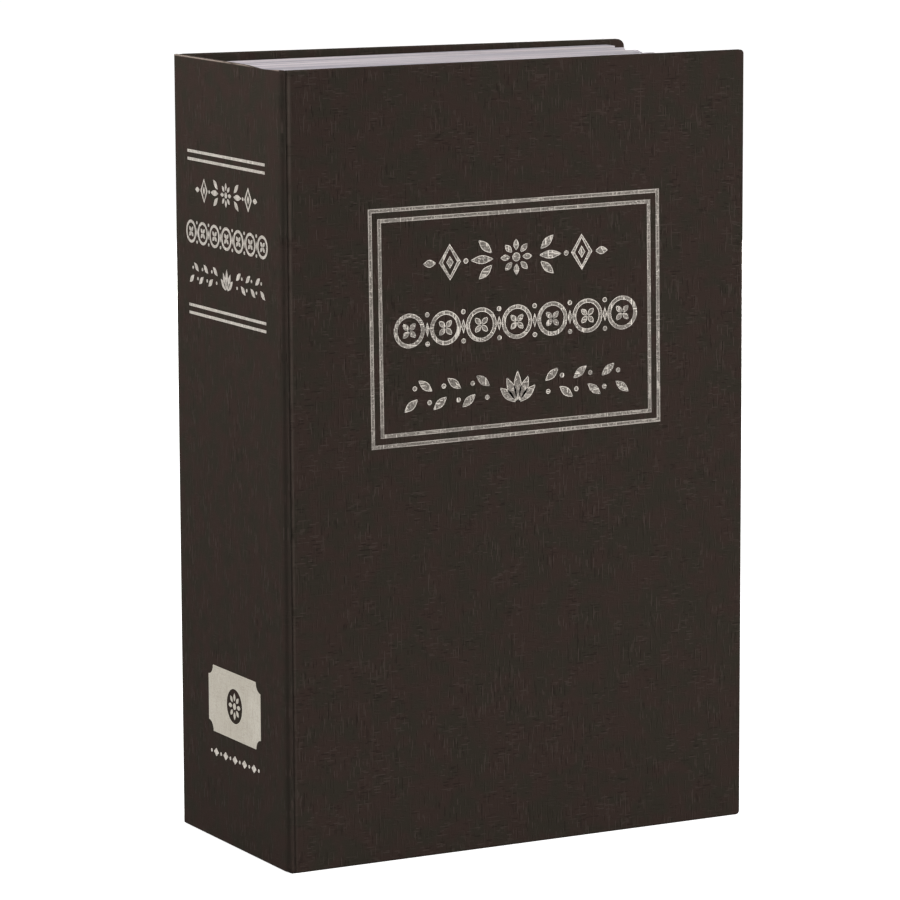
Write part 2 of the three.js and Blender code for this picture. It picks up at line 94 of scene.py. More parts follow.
class Body(Enum):
    """The bodies that a piece can ride on."""

    CASE = "case"
    FRONT_COVER = "front_cover"
    LID = "lid"
    TURNING_PLUG = "turning_plug"


class Slot(Enum):
    """The material slots that the finishes hold."""

    BOOKCLOTH = "bookcloth"
    FOIL = "foil"
    BOARD = "board"
    ENDPAPER = "endpaper"
    PAGES = "page_plastic"
    PAINT = "box_paint"
    ZINC = "zinc_steel"
    CHROME = "lock_chrome"
    BRASS = "wafer_brass"


class Side(Enum):
    """A cover of the book, by the direction that its outer face looks along Y."""

    FRONT = -1
    BACK = 1


# Colours


def srgb(red: int, green: int, blue: int) -> Colour:
    """Turns a screen colour into the linear colour that shaders read.

    Args:
        red: Level from 0 to 255, as are green and blue.
        green: Level of green.
        blue: Level of blue.

    Returns:
        The linear colour with full alpha.
    """

    def linear(level: int) -> float:
        """Turns one level into its linear share."""
        share = level / 255
        return share / 12.92 if share <= 0.04045 else ((share + 0.055) / 1.055) ** 2.4

    return (linear(red), linear(green), linear(blue), 1.0)


# Shader wiring


class Wiring:
    """Adds nodes to one tree and joins them. An input is a socket or a plain value."""

    MIX_FACTOR, MIX_FIRST, MIX_SECOND, MIX_RESULT = 0, 6, 7, 2

    def __init__(self, tree: NodeTree) -> None:
        """Keeps the tree that the nodes go to."""
        self.tree = tree

    def feed(self, socket: NodeSocket, value: Value) -> None:
        """Links a socket to an input, or sets the input's own value.

        Args:
            socket: The input.
            value: A socket or a plain value.
        """
        if isinstance(value, NodeSocket):
            self.tree.links.new(value, socket)
        else:
            socket.default_value = value

    def add(self, kind: str, inputs: dict[str | int, Value] | None = None, **settings: object) -> Node:
        """Adds a node.

        Args:
            kind: The node's type.
            inputs: Values or sockets for its inputs, by name or index.
            **settings: The node's own options.

        Returns:
            The new node.
        """
        node = self.tree.nodes.new(kind)
        for name, value in settings.items():
            setattr(node, name, value)
        for key, value in (inputs or {}).items():
            self.feed(node.inputs[key], value)
        return node

    def calc(self, operation: str, *values: Value) -> NodeSocket:
        """Returns the result of a math node."""
        return self.add("ShaderNodeMath", dict(enumerate(values)), operation=operation).outputs[0]

    def vector(self, operation: str, *values: Value) -> NodeSocket:
        """Returns the result of a vector math node."""
        return self.add("ShaderNodeVectorMath", dict(enumerate(values)), operation=operation).outputs[0]

    def combine(self, x: Value, y: Value, z: Value) -> NodeSocket:
        """Joins three numbers into a vector."""
        return self.add("ShaderNodeCombineXYZ", {0: x, 1: y, 2: z}).outputs[0]

    def separate(self, vector: NodeSocket) -> list[NodeSocket]:
        """Splits a vector into its three numbers."""
        return list(self.add("ShaderNodeSeparateXYZ", {0: vector}).outputs)

    def fade(self, value: Value, start: Value, end: Value, low: float = 0.0, high: float = 1.0) -> NodeSocket:
        """Maps a value smoothly from start and end to low and high, where start lies below end."""
        inputs = {0: value, 1: start, 2: end, 3: low, 4: high}
        return self.add("ShaderNodeMapRange", inputs, interpolation_type="SMOOTHSTEP").outputs[0]

    def mix(self, share: Value, first: Value, second: Value) -> NodeSocket:
        """Mixes two colours."""
        inputs = {self.MIX_FACTOR: share, self.MIX_FIRST: first, self.MIX_SECOND: second}
        return self.add("ShaderNodeMix", inputs, data_type="RGBA").outputs[self.MIX_RESULT]

    def noise(self, vector: NodeSocket, detail: float = 0.0, scale: float = 1.0) -> NodeSocket:
        """Returns a noise value between 0 and 1."""
        inputs = {"Vector": vector, "Scale": scale, "Detail": detail}
        return self.add("ShaderNodeTexNoise", inputs).outputs[0]

    def stretched(self, position: NodeSocket, per_metre: Value, detail: float) -> NodeSocket:
        """Returns a noise value with its own number of cells per metre along each axis."""
        return self.noise(self.vector("MULTIPLY", position, per_metre), detail)

    def group(self, tree: NodeTree, inputs: dict[str | int, Value]) -> dict[str, NodeSocket]:
        """Places a node group and returns its outputs by name."""
        node = self.add("ShaderNodeGroup", inputs, node_tree=tree)
        return {output.name: output for output in node.outputs}


def new_material(name: str) -> tuple[Material, Wiring]:
    """Makes a material without nodes, and the wiring that fills it.

    Args:
        name: The material's name.

    Returns:
        The material and its wiring.
    """
    material = bpy.data.materials.new(name)
    material.use_nodes = True
    material.node_tree.nodes.clear()
    return material, Wiring(material.node_tree)


# Shader groups, each built once and placed in several materials


def shader_group(
    name: str,
    inputs: dict[str, float | Triple],
    outputs: Sequence[str],
    build: Callable[[Wiring, Sockets], Sockets],
) -> NodeTree:
    """Gives a node group, and builds it at the first call.

    Args:
        name: The group's name.
        inputs: The first value of each input, a number or a vector.
        outputs: The names of its outputs, which are all numbers.
        build: Wires the group from its input sockets and returns the socket of each output.

    Returns:
        The group's tree.
    """
    tree = bpy.data.node_groups.get(name)
    if tree:
        return tree
    tree = bpy.data.node_groups.new(name, "ShaderNodeTree")
    for key, first in inputs.items():
        kind = "NodeSocketVector" if isinstance(first, tuple) else "NodeSocketFloat"
        tree.interface.new_socket(key, in_out="INPUT", socket_type=kind).default_value = first
    for key in outputs:
        tree.interface.new_socket(key, in_out="OUTPUT", socket_type="NodeSocketFloat")
    w = Wiring(tree)
    entry = w.add("NodeGroupInput")
    results = build(w, {socket.name: socket for socket in entry.outputs if socket.name})
    w.add("NodeGroupOutput", results)
    return tree


def cloth_emboss() -> NodeTree:
    """The bookcloth's relief: upright threads, and patches where short level threads cross them.

    Returns:
        The group's tree.
    """
    thread_pitch, lane_step = 0.44, 5.37
    upright_length, level_length = 3.6, 2.6
    raised_run, sunk_run = (0.62, 0.72), (0.26, 0.36)
    patch_width, patch_height = 13.0, 10.0
    fine_width, fine_height = 0.3, 0.45
    crevice_depth, fine_depth = 0.6, 0.35

    def build(w: Wiring, given: Sockets) -> Sockets:
        """Wires threads, crevices, patches and their height.

        Args:
            w: The group's wiring.
            given: Its inputs by name.

        Returns:
            Its outputs by name.
        """

        def cells(width: float, height: float, layer: float, detail: float) -> NodeSocket:
            """Returns noise in cells of a width and height, in millimetres."""
            place = w.combine(w.calc("DIVIDE", across, width), w.calc("DIVIDE", up, height), layer)
            return w.noise(place, detail)

        def threads(
            sideways: NodeSocket, along: NodeSocket, length: float, share: NodeSocket
        ) -> list[NodeSocket]:
            """Returns the raised threads and sunk crevices of one direction, which lie side by side.

            Args:
                sideways: The distance across the threads.
                along: The distance along them.
                length: How long they are.
                share: How much of their height they keep.

            Returns:
                The mask of the raised threads and the mask of the crevices.
            """
            turns = w.calc("DIVIDE", sideways, thread_pitch)
            lane = w.calc("MULTIPLY", w.calc("FLOOR", turns), lane_step)
            value = w.noise(w.combine(lane, w.calc("DIVIDE", along, length), length))
            rounded = w.calc("MULTIPLY", w.fade(w.calc("PINGPONG", turns, 0.5), 0.0, 0.2), share)
            masks = (w.fade(value, *raised_run), w.fade(value, *sunk_run, 1.0, 0.0))
            return [w.calc("MULTIPLY", mask, rounded) for mask in masks]

        x, y, up = w.separate(w.vector("MULTIPLY", given["Position"], TO_MM))
        across = w.calc("ADD", x, y)
        patch = cells(patch_width, patch_height, 3.0, 1.5)
        level_share = w.calc("MULTIPLY", w.fade(patch, 0.42, 0.56, 0.25, 1.0), given["Level Threads"])
        upright = threads(across, up, upright_length, w.fade(patch, 0.44, 0.6, 1.0, 0.35))
        level = threads(up, across, level_length, level_share)
        raised, sunk = (w.calc("MAXIMUM", *pair) for pair in zip(upright, level))
        fine = w.calc("MULTIPLY", cells(fine_width, fine_height, 9.0, 1.0), fine_depth)
        height = w.calc("ADD", w.calc("SUBTRACT", raised, w.calc("MULTIPLY", sunk, crevice_depth)), fine)
        return {"Threads": raised, "Crevices": sunk, "Height": height}

    inputs = {"Position": ORIGIN, "Level Threads": 1.0}
    return shader_group("cloth_emboss", inputs, ("Threads", "Crevices", "Height"), build)


def edge_wear() -> NodeTree:
    """A mask along the edges of a box shape, broken up as rubbing does it. It marks rubbed edges, and along
    the covers' hinge edges a painted highlight.

    Returns:
        The group's tree.
    """
    rub_cells = (160.0, 160.0, 160.0)

    def build(w: Wiring, given: Sockets) -> Sockets:
        """Takes the second nearest of the box's three pairs of faces as the distance to an edge.

        Args:
            w: The group's wiring.
            given: Its inputs by name.

        Returns:
            Its outputs by name.
        """
        away = w.vector("ABSOLUTE", w.vector("SUBTRACT", given["Position"], given["Centre"]))
        a, b, c = w.separate(w.vector("SUBTRACT", away, given["Half Size"]))
        second = w.calc("MAXIMUM", w.calc("MINIMUM", a, b), w.calc("MINIMUM", w.calc("MAXIMUM", a, b), c))
        near = w.fade(w.calc("ADD", second, given["Width"]), 0.0, given["Width"])
        rubbed = w.stretched(given["Position"], rub_cells, 3.0)
        patchy = w.fade(w.calc("ADD", rubbed, given["Amount"]), 0.75, 1.05)
        return {"Wear": w.calc("MULTIPLY", near, patchy)}

    inputs = {"Position": ORIGIN, "Centre": ORIGIN, "Half Size": (1.0, 1.0, 1.0), "Width": MM, "Amount": 0.5}
    return shader_group("edge_wear", inputs, ("Wear",), build)


def fine_grain() -> NodeTree:
    """Grain at two scales, for paint, paper, board and foil.

    Returns:
        The group's tree.
    """
    cloud_scale, speck_scale = 0.03, 0.6

    def build(w: Wiring, given: Sockets) -> Sockets:
        """Wires the grain, its clouds and scattered specks.

        Args:
            w: The group's wiring.
            given: Its inputs by name.

        Returns:
            Its outputs by name.
        """
        cells = w.vector("SCALE", given["Position"])
        w.feed(cells.node.inputs["Scale"], w.calc("DIVIDE", 1 / MM, given["Grain mm"]))
        specks = w.fade(w.noise(cells, 1.0, speck_scale), 0.7, 0.78)
        return {"Grain": w.noise(cells, 2.0), "Clouds": w.noise(cells, 2.0, cloud_scale), "Specks": specks}

    inputs = {"Position": ORIGIN, "Grain mm": 1.0}
    return shader_group("fine_grain", inputs, ("Grain", "Clouds", "Specks"), build)


def brushed_lines() -> NodeTree:
    """Fine parallel lines, as rolling, brushing or drawing leaves them on metal.

    Returns:
        The group's tree.
    """

    def build(w: Wiring, given: Sockets) -> Sockets:
        """Stretches noise along one direction."""
        return {"Lines": w.stretched(given["Position"], given["Cells"], 3.0)}

    return shader_group("brushed_lines", {"Position": ORIGIN, "Cells": TO_MM}, ("Lines",), build)


# Finishes


class Look(NamedTuple):
    """What changes over a finished surface."""

    colour: NodeSocket
    roughness: NodeSocket
    height: NodeSocket
    relief_mm: float


@dataclass(frozen=True)
class Finish:
    """A surface finish. The numbers that are the same all over are set on the shader itself."""

    name: str
    roughness: float = 0.6
    metallic: float = 0.0
    specular: float = 0.5
    slot: Slot | None = None

    def look(self, w: Wiring, position: NodeSocket) -> Look:
        """Wires what changes over the surface."""
        raise NotImplementedError

    def rough(
        self, w: Wiring, value: NodeSocket, start: float, end: float, less: float, more: float
    ) -> NodeSocket:
        """Returns the roughness, from less at the start of a value's run to more at its end."""
        return w.fade(value, start, end, self.roughness - less, self.roughness + more)

    def material(self) -> Material:
        """Gives the material of this finish, and builds it at the first call.

        Returns:
            The material.
        """
        found = bpy.data.materials.get(self.name)
        if found:
            return found
        material, w = new_material(self.name)
        look = self.look(w, w.add("ShaderNodeTexCoord").outputs["Object"])
        bump = w.add("ShaderNodeBump", {"Height": look.height, "Distance": look.relief_mm * MM})
        shader = w.add("ShaderNodeBsdfPrincipled", {
            "Base Color": look.colour,
            "Roughness": look.roughness,
            "Metallic": self.metallic,
            "Specular IOR Level": self.specular,
            "Normal": bump.outputs[0],
        })
        w.add("ShaderNodeOutputMaterial", {"Surface": shader.outputs[0]})
        return material


@dataclass(frozen=True)
class RubbedAndHighlitFinish(Finish):
    """A finish whose colour changes along the edges of a box, which its centre and half size give: rubbed
    edges, and on the covers' hinge edges a painted highlight.
    """

    centre_mm: Triple = ORIGIN
    half_size_mm: Triple = (1.0, 1.0, 1.0)
    # The lighter edge colour: rubbing, and on the covers' hinge edges a painted highlight.
    worn_and_highlight: Colour = srgb(150, 136, 120)
    wear: float = 0.2
    wear_and_highlight_width_mm: float = 0.6
    wear_and_highlight_strength: float = 0.7

    def rubbed(self, w: Wiring, position: NodeSocket, ground: NodeSocket) -> NodeSocket:
        """Returns a colour with its rubbed edges, which on the covers' hinge edges are a painted highlight.

        Args:
            w: The material's wiring.
            position: The place on the object.
            ground: The colour.

        Returns:
            The colour with its rubbed edges and painted highlights.
        """
        inputs = {
            "Position": position,
            "Centre": tuple(size * MM for size in self.centre_mm),
            "Half Size": tuple(size * MM for size in self.half_size_mm),
            "Width": self.wear_and_highlight_width_mm * MM,
            "Amount": self.wear,
        }
        # Lighter edges: rubbing, and along the covers' hinge edges a painted highlight.
        worn_and_highlight = w.group(edge_wear(), inputs)["Wear"]
        return w.mix(w.calc("MULTIPLY", worn_and_highlight, self.wear_and_highlight_strength), ground, self.worn_and_highlight)


@dataclass(frozen=True)
class Bookcloth(RubbedAndHighlitFinish):
    """Very dark embossed cloth, with a painted highlight on its raised threads, painted shade in its crevices
    and lighter edges: rubbed on the spine's head, a painted highlight along the covers' hinge edges.
    """

    roughness: float = 0.76
    specular: float = 0.012
    slot: Slot = Slot.BOOKCLOTH
    level_threads: float = 1.0
    warm: Colour = srgb(52, 42, 38)
    cool: Colour = srgb(47, 43, 37)
    # Painted highlight on the raised threads, and painted shade in the crevices beside them:
    thread: Colour = srgb(68, 59, 54)
    crevice_shade: Colour = srgb(34, 28, 25)
    dye_cells: Triple = (150.0, 150.0, 170.0)
    patch_cells: Triple = (170.0, 170.0, 130.0)

    def look(self, w: Wiring, position: NodeSocket) -> Look:
        """Wires the cloth's threads with their painted highlight, painted shade in its crevices, its uneven
        dye and the lighter edges, rubbed in places and painted highlight along the covers' hinge edges.

        Args:
            w: The material's wiring.
            position: The place on the object.

        Returns:
            What changes over the surface.
        """
        cloth = w.group(cloth_emboss(), {"Position": position, "Level Threads": self.level_threads})
        dye = w.stretched(position, self.dye_cells, 2.0)
        colour = w.mix(w.fade(dye, 0.36, 0.66), self.warm, self.cool)
        kept = w.fade(w.stretched(position, self.patch_cells, 2.0), 0.42, 0.58, 0.12, 0.6)
        # Painted shade darkens the crevices and a painted highlight lightens the raised threads, in patches.
        for mask, tone in (("Crevices", self.crevice_shade), ("Threads", self.thread)):
            colour = w.mix(w.calc("MULTIPLY", cloth[mask], kept), colour, tone)
        roughness = self.rough(w, cloth["Threads"], 0.0, 1.0, less=0.0, more=-0.14)
        return Look(self.rubbed(w, position, colour), roughness, cloth["Height"], relief_mm=0.07)


@dataclass(frozen=True)
class Foil(Finish):
    """Champagne silver foil that is blocked into the cloth and shows its threads, with painted highlights on
    its raised threads, specks and outlines, and painted shade in its crevices.
    """

    slot: Slot = Slot.FOIL
    # The colour of painted glints and outline highlights, the body colour, and the colour of painted shade
    # and mottle:
    highlight_colour: Colour = srgb(236, 229, 218)
    body: Colour = srgb(186, 177, 165)
    shade_and_mottle: Colour = srgb(120, 110, 99)
    mottle: float = 1.0
    rim_low: float = 0.35

    def look(self, w: Wiring, position: NodeSocket) -> Look:
        """Wires the mottled foil, with painted shade in the crevices, painted glints, and a painted highlight
        on the outlines where the shape has them.

        Args:
            w: The material's wiring.
            position: The place on the object.

        Returns:
            What changes over the surface.
        """
        cloth = w.group(cloth_emboss(), {"Position": position, "Level Threads": 0.8})
        grain = w.group(fine_grain(), {"Position": position, "Grain mm": 0.45})
        # Painted shade in the crevices, and darker mottle from the grain; painted glints on the raised
        # threads and grain specks.
        shade_and_mottle = w.calc("MAXIMUM", cloth["Crevices"], w.fade(grain["Grain"], 0.34, 0.5, 0.8, 0.0))
        glint = w.calc("MAXIMUM", cloth["Threads"], w.fade(grain["Grain"], 0.6, 0.7))
        colour = w.mix(w.calc("MULTIPLY", shade_and_mottle, self.mottle), self.body, self.shade_and_mottle)
        colour = w.mix(w.calc("MULTIPLY", glint, self.mottle), colour, self.highlight_colour)
        # Painted highlight along the outlines, broken up by the grain's clouds.
        rim = w.add("ShaderNodeAttribute", attribute_name=RIM_LAYER).outputs["Fac"]
        rim_highlight = w.calc("MULTIPLY", rim, w.fade(grain["Clouds"], 0.4, 0.6, self.rim_low, 1.0))
        colour = w.mix(rim_highlight, colour, self.highlight_colour)
        roughness = self.rough(w, grain["Clouds"], 0.3, 0.7, less=0.08, more=0.12)
        return Look(colour, roughness, cloth["Height"], relief_mm=0.07)


@dataclass(frozen=True)
class PageEdges(Finish):
    """Pale moulded page edges, with a fine line for each leaf and painted shade in each groove."""

    roughness: float = 0.62
    specular: float = 0.3
    slot: Slot = Slot.PAGES
    paper: Colour = srgb(190, 181, 184)
    tint: Colour = srgb(160, 155, 162)
    line: Colour = srgb(150, 143, 148)
    # The colour of the painted shade in each group's groove:
    groove: Colour = srgb(104, 97, 101)
    leaf_cell_mm: Triple = (70.0, 0.22, 90.0)
    tint_cell_mm: Triple = (90.0, 3.5, 120.0)
    group_start_mm: float = 0.0
    group_pitch_mm: float = 1.0
    groove_width_mm: float = 0.55

    def look(self, w: Wiring, position: NodeSocket) -> Look:
        """Wires leaf lines that lie parallel to the covers.

        Args:
            w: The material's wiring.
            position: The place on the object.

        Returns:
            What changes over the surface.
        """
        place = w.vector("MULTIPLY", position, TO_MM)
        leaves = w.noise(w.vector("DIVIDE", place, self.leaf_cell_mm), 2.0)
        tint = w.noise(w.vector("DIVIDE", place, self.tint_cell_mm))
        depth = w.calc("SUBTRACT", w.separate(place)[Y], self.group_start_mm)
        turns = w.calc("DIVIDE", depth, self.group_pitch_mm)
        offset = w.calc("MULTIPLY", w.calc("PINGPONG", turns, 0.5), self.group_pitch_mm)
        colour = w.mix(w.fade(tint, 0.4, 0.6), self.paper, self.tint)
        colour = w.mix(w.fade(leaves, 0.3, 0.46, 0.7, 0.0), colour, self.line)
        # Painted shade in the groove at the start of each group of leaves.
        colour = w.mix(w.fade(offset, 0.0, self.groove_width_mm, 0.85, 0.0), colour, self.groove)
        return Look(colour, self.rough(w, leaves, 0.0, 1.0, less=0.1, more=0.1), leaves, relief_mm=0.06)


@dataclass(frozen=True)
class Paper(Finish):
    """Uncoated paper or board, with fibres and faint clouds."""

    colour: Colour = srgb(222, 216, 203)
    shade: Colour = srgb(204, 196, 180)
    fleck: Colour = srgb(165, 153, 134)

    def look(self, w: Wiring, position: NodeSocket) -> Look:
        """Wires clouds and scattered fibres.

        Args:
            w: The material's wiring.
            position: The place on the object.

        Returns:
            What changes over the surface.
        """
        grain = w.group(fine_grain(), {"Position": position, "Grain mm": 0.5})
        colour = w.mix(w.fade(grain["Clouds"], 0.35, 0.65), self.colour, self.shade)
        colour = w.mix(w.calc("MULTIPLY", grain["Specks"], 0.5), colour, self.fleck)
        roughness = self.rough(w, grain["Grain"], 0.2, 0.8, less=0.07, more=0.05)
        return Look(colour, roughness, grain["Grain"], relief_mm=0.03)


@dataclass(frozen=True)
class PowderCoat(RubbedAndHighlitFinish):
    """Black powder coat: a fine orange peel, with metal dust where edges are rubbed."""

    roughness: float = 0.5
    specular: float = 0.35
    slot: Slot = Slot.PAINT
    worn_and_highlight: Colour = srgb(104, 103, 102)
    wear: float = 0.3
    wear_and_highlight_width_mm: float = 0.5
    wear_and_highlight_strength: float = 0.6
    colour: Colour = srgb(38, 38, 40)
    cloud: Colour = srgb(46, 46, 49)

    def look(self, w: Wiring, position: NodeSocket) -> Look:
        """Wires the peel and the rubbed edges.

        Args:
            w: The material's wiring.
            position: The place on the object.

        Returns:
            What changes over the surface.
        """
        grain = w.group(fine_grain(), {"Position": position, "Grain mm": 0.7})
        colour = self.rubbed(w, position, w.mix(grain["Clouds"], self.colour, self.cloud))
        roughness = self.rough(w, grain["Grain"], 0.2, 0.8, less=0.1, more=0.1)
        return Look(colour, roughness, grain["Grain"], relief_mm=0.06)


@dataclass(frozen=True)
class BareMetal(Finish):
    """Plated or solid metal with fine lines and small changes of tone."""

    metallic: float = 1.0
    slot: Slot = Slot.ZINC
    colour: Colour = srgb(196, 198, 200)
    shade: Colour = srgb(160, 163, 167)
    line_cells: Triple = (300.0, 300.0, 4000.0)
    relief_mm: float = 0.01

    def look(self, w: Wiring, position: NodeSocket) -> Look:
        """Wires the lines of the metal's last working.

        Args:
            w: The material's wiring.
            position: The place on the object.

        Returns:
            What changes over the surface.
        """
        lines = w.group(brushed_lines(), {"Position": position, "Cells": self.line_cells})["Lines"]
        clouds = w.group(fine_grain(), {"Position": position, "Grain mm": 0.6})["Clouds"]
        tone = w.calc("MULTIPLY", w.calc("ADD", lines, clouds), 0.5)
        colour = w.mix(w.fade(tone, 0.35, 0.65), self.colour, self.shade)
        return Look(colour, self.rough(w, tone, 0.3, 0.7, less=0.06, more=0.1), lines, self.relief_mm)


BOARD = Paper(
    "greyboard", 0.95, slot=Slot.BOARD,
    colour=srgb(150, 141, 128), shade=srgb(133, 124, 112), fleck=srgb(96, 88, 78),
)
ENDPAPER = Paper(
    "endpaper_stock", 0.9, specular=0.2, slot=Slot.ENDPAPER,
    colour=srgb(206, 200, 187), shade=srgb(200, 193, 179),
)
ZINC = BareMetal("zinc_plate", 0.34, colour=srgb(190, 192, 194), shade=srgb(150, 154, 158))
CAM_ZINC = BareMetal("cam_zinc_plate", 0.32, colour=srgb(196, 193, 184), shade=srgb(166, 163, 152))
CHROME = BareMetal(
    "chrome_plate", 0.13, slot=Slot.CHROME,
    colour=srgb(214, 216, 219), shade=srgb(198, 200, 204), relief_mm=0.003,
)
BRASS = BareMetal("wafer_sheet", 0.3, slot=Slot.BRASS, colour=srgb(204, 168, 92), shade=srgb(178, 142, 74))
# Each foil's lightest colour is painted glints and outline highlights, and its darkest is painted shade in
# the crevices mixed with mottle.
FRAME_FOIL = Foil(
    "frame_foil", 0.6, 0.5, rim_low=0.2,
    highlight_colour=srgb(152, 145, 137), body=srgb(94, 88, 82), shade_and_mottle=srgb(74, 68, 62),
)
TOOLING_FOIL = replace(FRAME_FOIL, name="tooling_foil", highlight_colour=srgb(190, 183, 174), body=srgb(96, 90, 84))
SPINE_FOIL = Foil(
    "spine_foil", 0.45, 0.8, highlight_colour=srgb(198, 191, 182), body=srgb(172, 165, 156), shade_and_mottle=srgb(144, 136, 126)
)
EMBLEM_FOIL = Foil("emblem_foil", 0.5, 0.8, mottle=0.3, highlight_colour=srgb(177, 171, 158), body=srgb(167, 161, 149))


# Mesh work, in millimetres


def cad_box(node: str) -> tuple[Vector, Vector]:
    """Gives the lowest and the highest corner of a CAD node, in millimetres."""
    low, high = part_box(node)
    return low / MM, high / MM


def middle(node: str) -> Vector:
    """Gives the middle of a CAD node's box, in millimetres."""
    low, high = cad_box(node)
    return (low + high) / 2


def rubbed_and_highlit_box(low: Vector, high: Vector) -> dict[str, Triple]:
    """Gives the box along whose edges a finish gets its rubbed marks and painted highlights, from its two
    corners.
    """
    return {"centre_mm": tuple((low + high) / 2), "half_size_mm": tuple((high - low) / 2)}


def moved(bm: BMesh, way: Sequence[float]) -> BMesh:
    """Moves a mesh."""
    bmesh.ops.translate(bm, vec=Vector(way), verts=bm.verts)
    return bm


def slab(low: Sequence[float], high: Sequence[float]) -> BMesh:
    """Makes a box between two corners.

    Args:
        low: The lowest corner.
        high: The highest corner.

    Returns:
        The box.
    """
    bm = bmesh.new()
    bmesh.ops.create_cube(bm, size=1.0)
    bmesh.ops.scale(bm, vec=Vector(high) - Vector(low), verts=bm.verts)
    return moved(bm, (Vector(high) + Vector(low)) / 2)


def open_plate(low: Vector, high: Vector, way: Sequence[float], turn_in: float) -> BMesh:
    """Makes a plate whose face that looks one way is open, but for a border as wide as the turn-in.

    Args:
        low: The plate's lowest corner.
        high: Its highest corner.
        way: Which way the open face looks.
        turn_in: The border's width.

    Returns:
        The plate.
    """
    bm = slab(low, high)
    inside = faces_towards(bm, way)
    bmesh.ops.inset_region(bm, faces=inside, thickness=turn_in, use_boundary=True)
    bmesh.ops.delete(bm, geom=inside, context="FACES_ONLY")
    return bm


def turned(profile: Sequence[Pair], ring: bool = False, steps: int = 64) -> BMesh:
    """Turns a profile about Z.

    Args:
        profile: Radius and height of each point. It starts and ends on the axis, unless it is a ring's.
        ring: Whether the profile closes on itself, round a bore.
        steps: How many faces go round.

    Returns:
        The closed solid.
    """
    bm = bmesh.new()
    verts = [bm.verts.new((radius, 0.0, height)) for radius, height in profile]
    pairs = list(zip(verts, verts[1:]))
    if ring:
        pairs.append((verts[-1], verts[0]))
    edges = [bm.edges.new(pair) for pair in pairs]
    turn = {"cent": ORIGIN, "axis": UP, "angle": math.tau, "steps": steps, "use_merge": True}
    bmesh.ops.spin(bm, geom=verts + edges, **turn)
    return cleaned(bm)


def round_bar(radius: float, start: float, end: float, steps: int = 64) -> BMesh:
    """Makes a round bar along Z."""
    return turned([(0, start), (radius, start), (radius, end), (0, end)], steps=steps)


def cleaned(bm: BMesh) -> BMesh:
    """Merges doubled vertices and turns the faces outwards.

    Args:
        bm: The mesh.

    Returns:
        The same mesh.
    """
    bmesh.ops.remove_doubles(bm, verts=bm.verts, dist=SAME_PLACE)
    bmesh.ops.recalc_face_normals(bm, faces=bm.faces)
    return bm


def face_y(bm: BMesh, x: float = 0.0, z: float = 0.0) -> BMesh:
    """Turns a mesh so that its Z becomes Y, and moves its axis to a place in X and Z."""
    bmesh.ops.rotate(bm, matrix=Matrix.Rotation(-math.pi / 2, 3, "X"), verts=bm.verts)
    return moved(bm, (x, 0.0, z))


def face_x(bm: BMesh, y: float, z: float) -> BMesh:
    """Turns a mesh so that its Z becomes X, and moves its axis to a place in Y and Z."""
    bmesh.ops.rotate(bm, matrix=Matrix.Rotation(math.pi / 2, 3, "Y"), verts=bm.verts)
    return moved(bm, (0.0, y, z))


def edges_along(bm: BMesh, axis: int) -> list[BMEdge]:
    """Finds the edges that run along one axis.

    Args:
        bm: The mesh.
        axis: The axis.

    Returns:
        The edges.
    """
    parallel = 0.999
    ways = {edge: edge.verts[1].co - edge.verts[0].co for edge in bm.edges}
    return [edge for edge, way in ways.items() if abs(way[axis]) > parallel * way.length]


def round_edges(bm: BMesh, edges: Iterable[BMEdge], radius: float, segments: int = 3) -> None:
    """Rounds edges.

    Args:
        bm: Their mesh.
        edges: The edges.
        radius: The radius that they get.
        segments: How many faces lie across the rounding.
    """
    bmesh.ops.bevel(
        bm, geom=list(edges), offset=radius, offset_type="OFFSET", segments=segments,
        profile=0.5, affect="EDGES", material=-1, clamp_overlap=True,
    )


def hard_edges(bm: BMesh, degrees: float = SHARP_DEGREES) -> list[BMEdge]:
    """Finds the edges where two faces meet at a clear angle."""
    limit = math.radians(degrees)
    return [edge for edge in bm.edges if len(edge.link_faces) == 2 and edge.calc_face_angle(0.0) > limit]


def faces_towards(bm: BMesh, way: Sequence[float]) -> list[BMFace]:
    """Finds the faces that look one way.

    Args:
        bm: The mesh.
        way: Which way they look.

    Returns:
        The faces.
    """
    facing = 0.99
    bm.normal_update()
    return [face for face in bm.faces if face.normal.dot(Vector(way)) > facing]


def chain(bm: BMesh, points: Iterable[Triple]) -> list[BMEdge]:
    """Joins points by edges, one after the other."""
    verts = [bm.verts.new(point) for point in points]
    return [bm.edges.new(pair) for pair in zip(verts, verts[1:])]


def extruded(bm: BMesh, edges: Sequence[BMEdge], way: Sequence[float]) -> list[BMEdge]:
    """Draws edges out by a vector.

    Args:
        bm: Their mesh.
        edges: The edges.
        way: The vector.

    Returns:
        The edges at the far side.
    """
    made = bmesh.ops.extrude_edge_only(bm, edges=edges)["geom"]
    verts = [part for part in made if isinstance(part, BMVert)]
    bmesh.ops.translate(bm, vec=Vector(way), verts=verts)
    ends = set(verts)
    return [part for part in made if isinstance(part, BMEdge) and set(part.verts) <= ends]


def thickened(bm: BMesh, height: float) -> BMesh:
    """Makes a solid of flat faces by raising a copy of them along Z.

    Args:
        bm: The mesh of flat faces.
        height: How far the copy is raised.

    Returns:
        The same mesh.
    """
    made = bmesh.ops.extrude_face_region(bm, geom=bm.faces[:], use_keep_orig=True)["geom"]
    tops = [part for part in made if isinstance(part, BMVert)]
    bmesh.ops.translate(bm, vec=(0, 0, height), verts=tops)
    bmesh.ops.recalc_face_normals(bm, faces=bm.faces)
    return bm


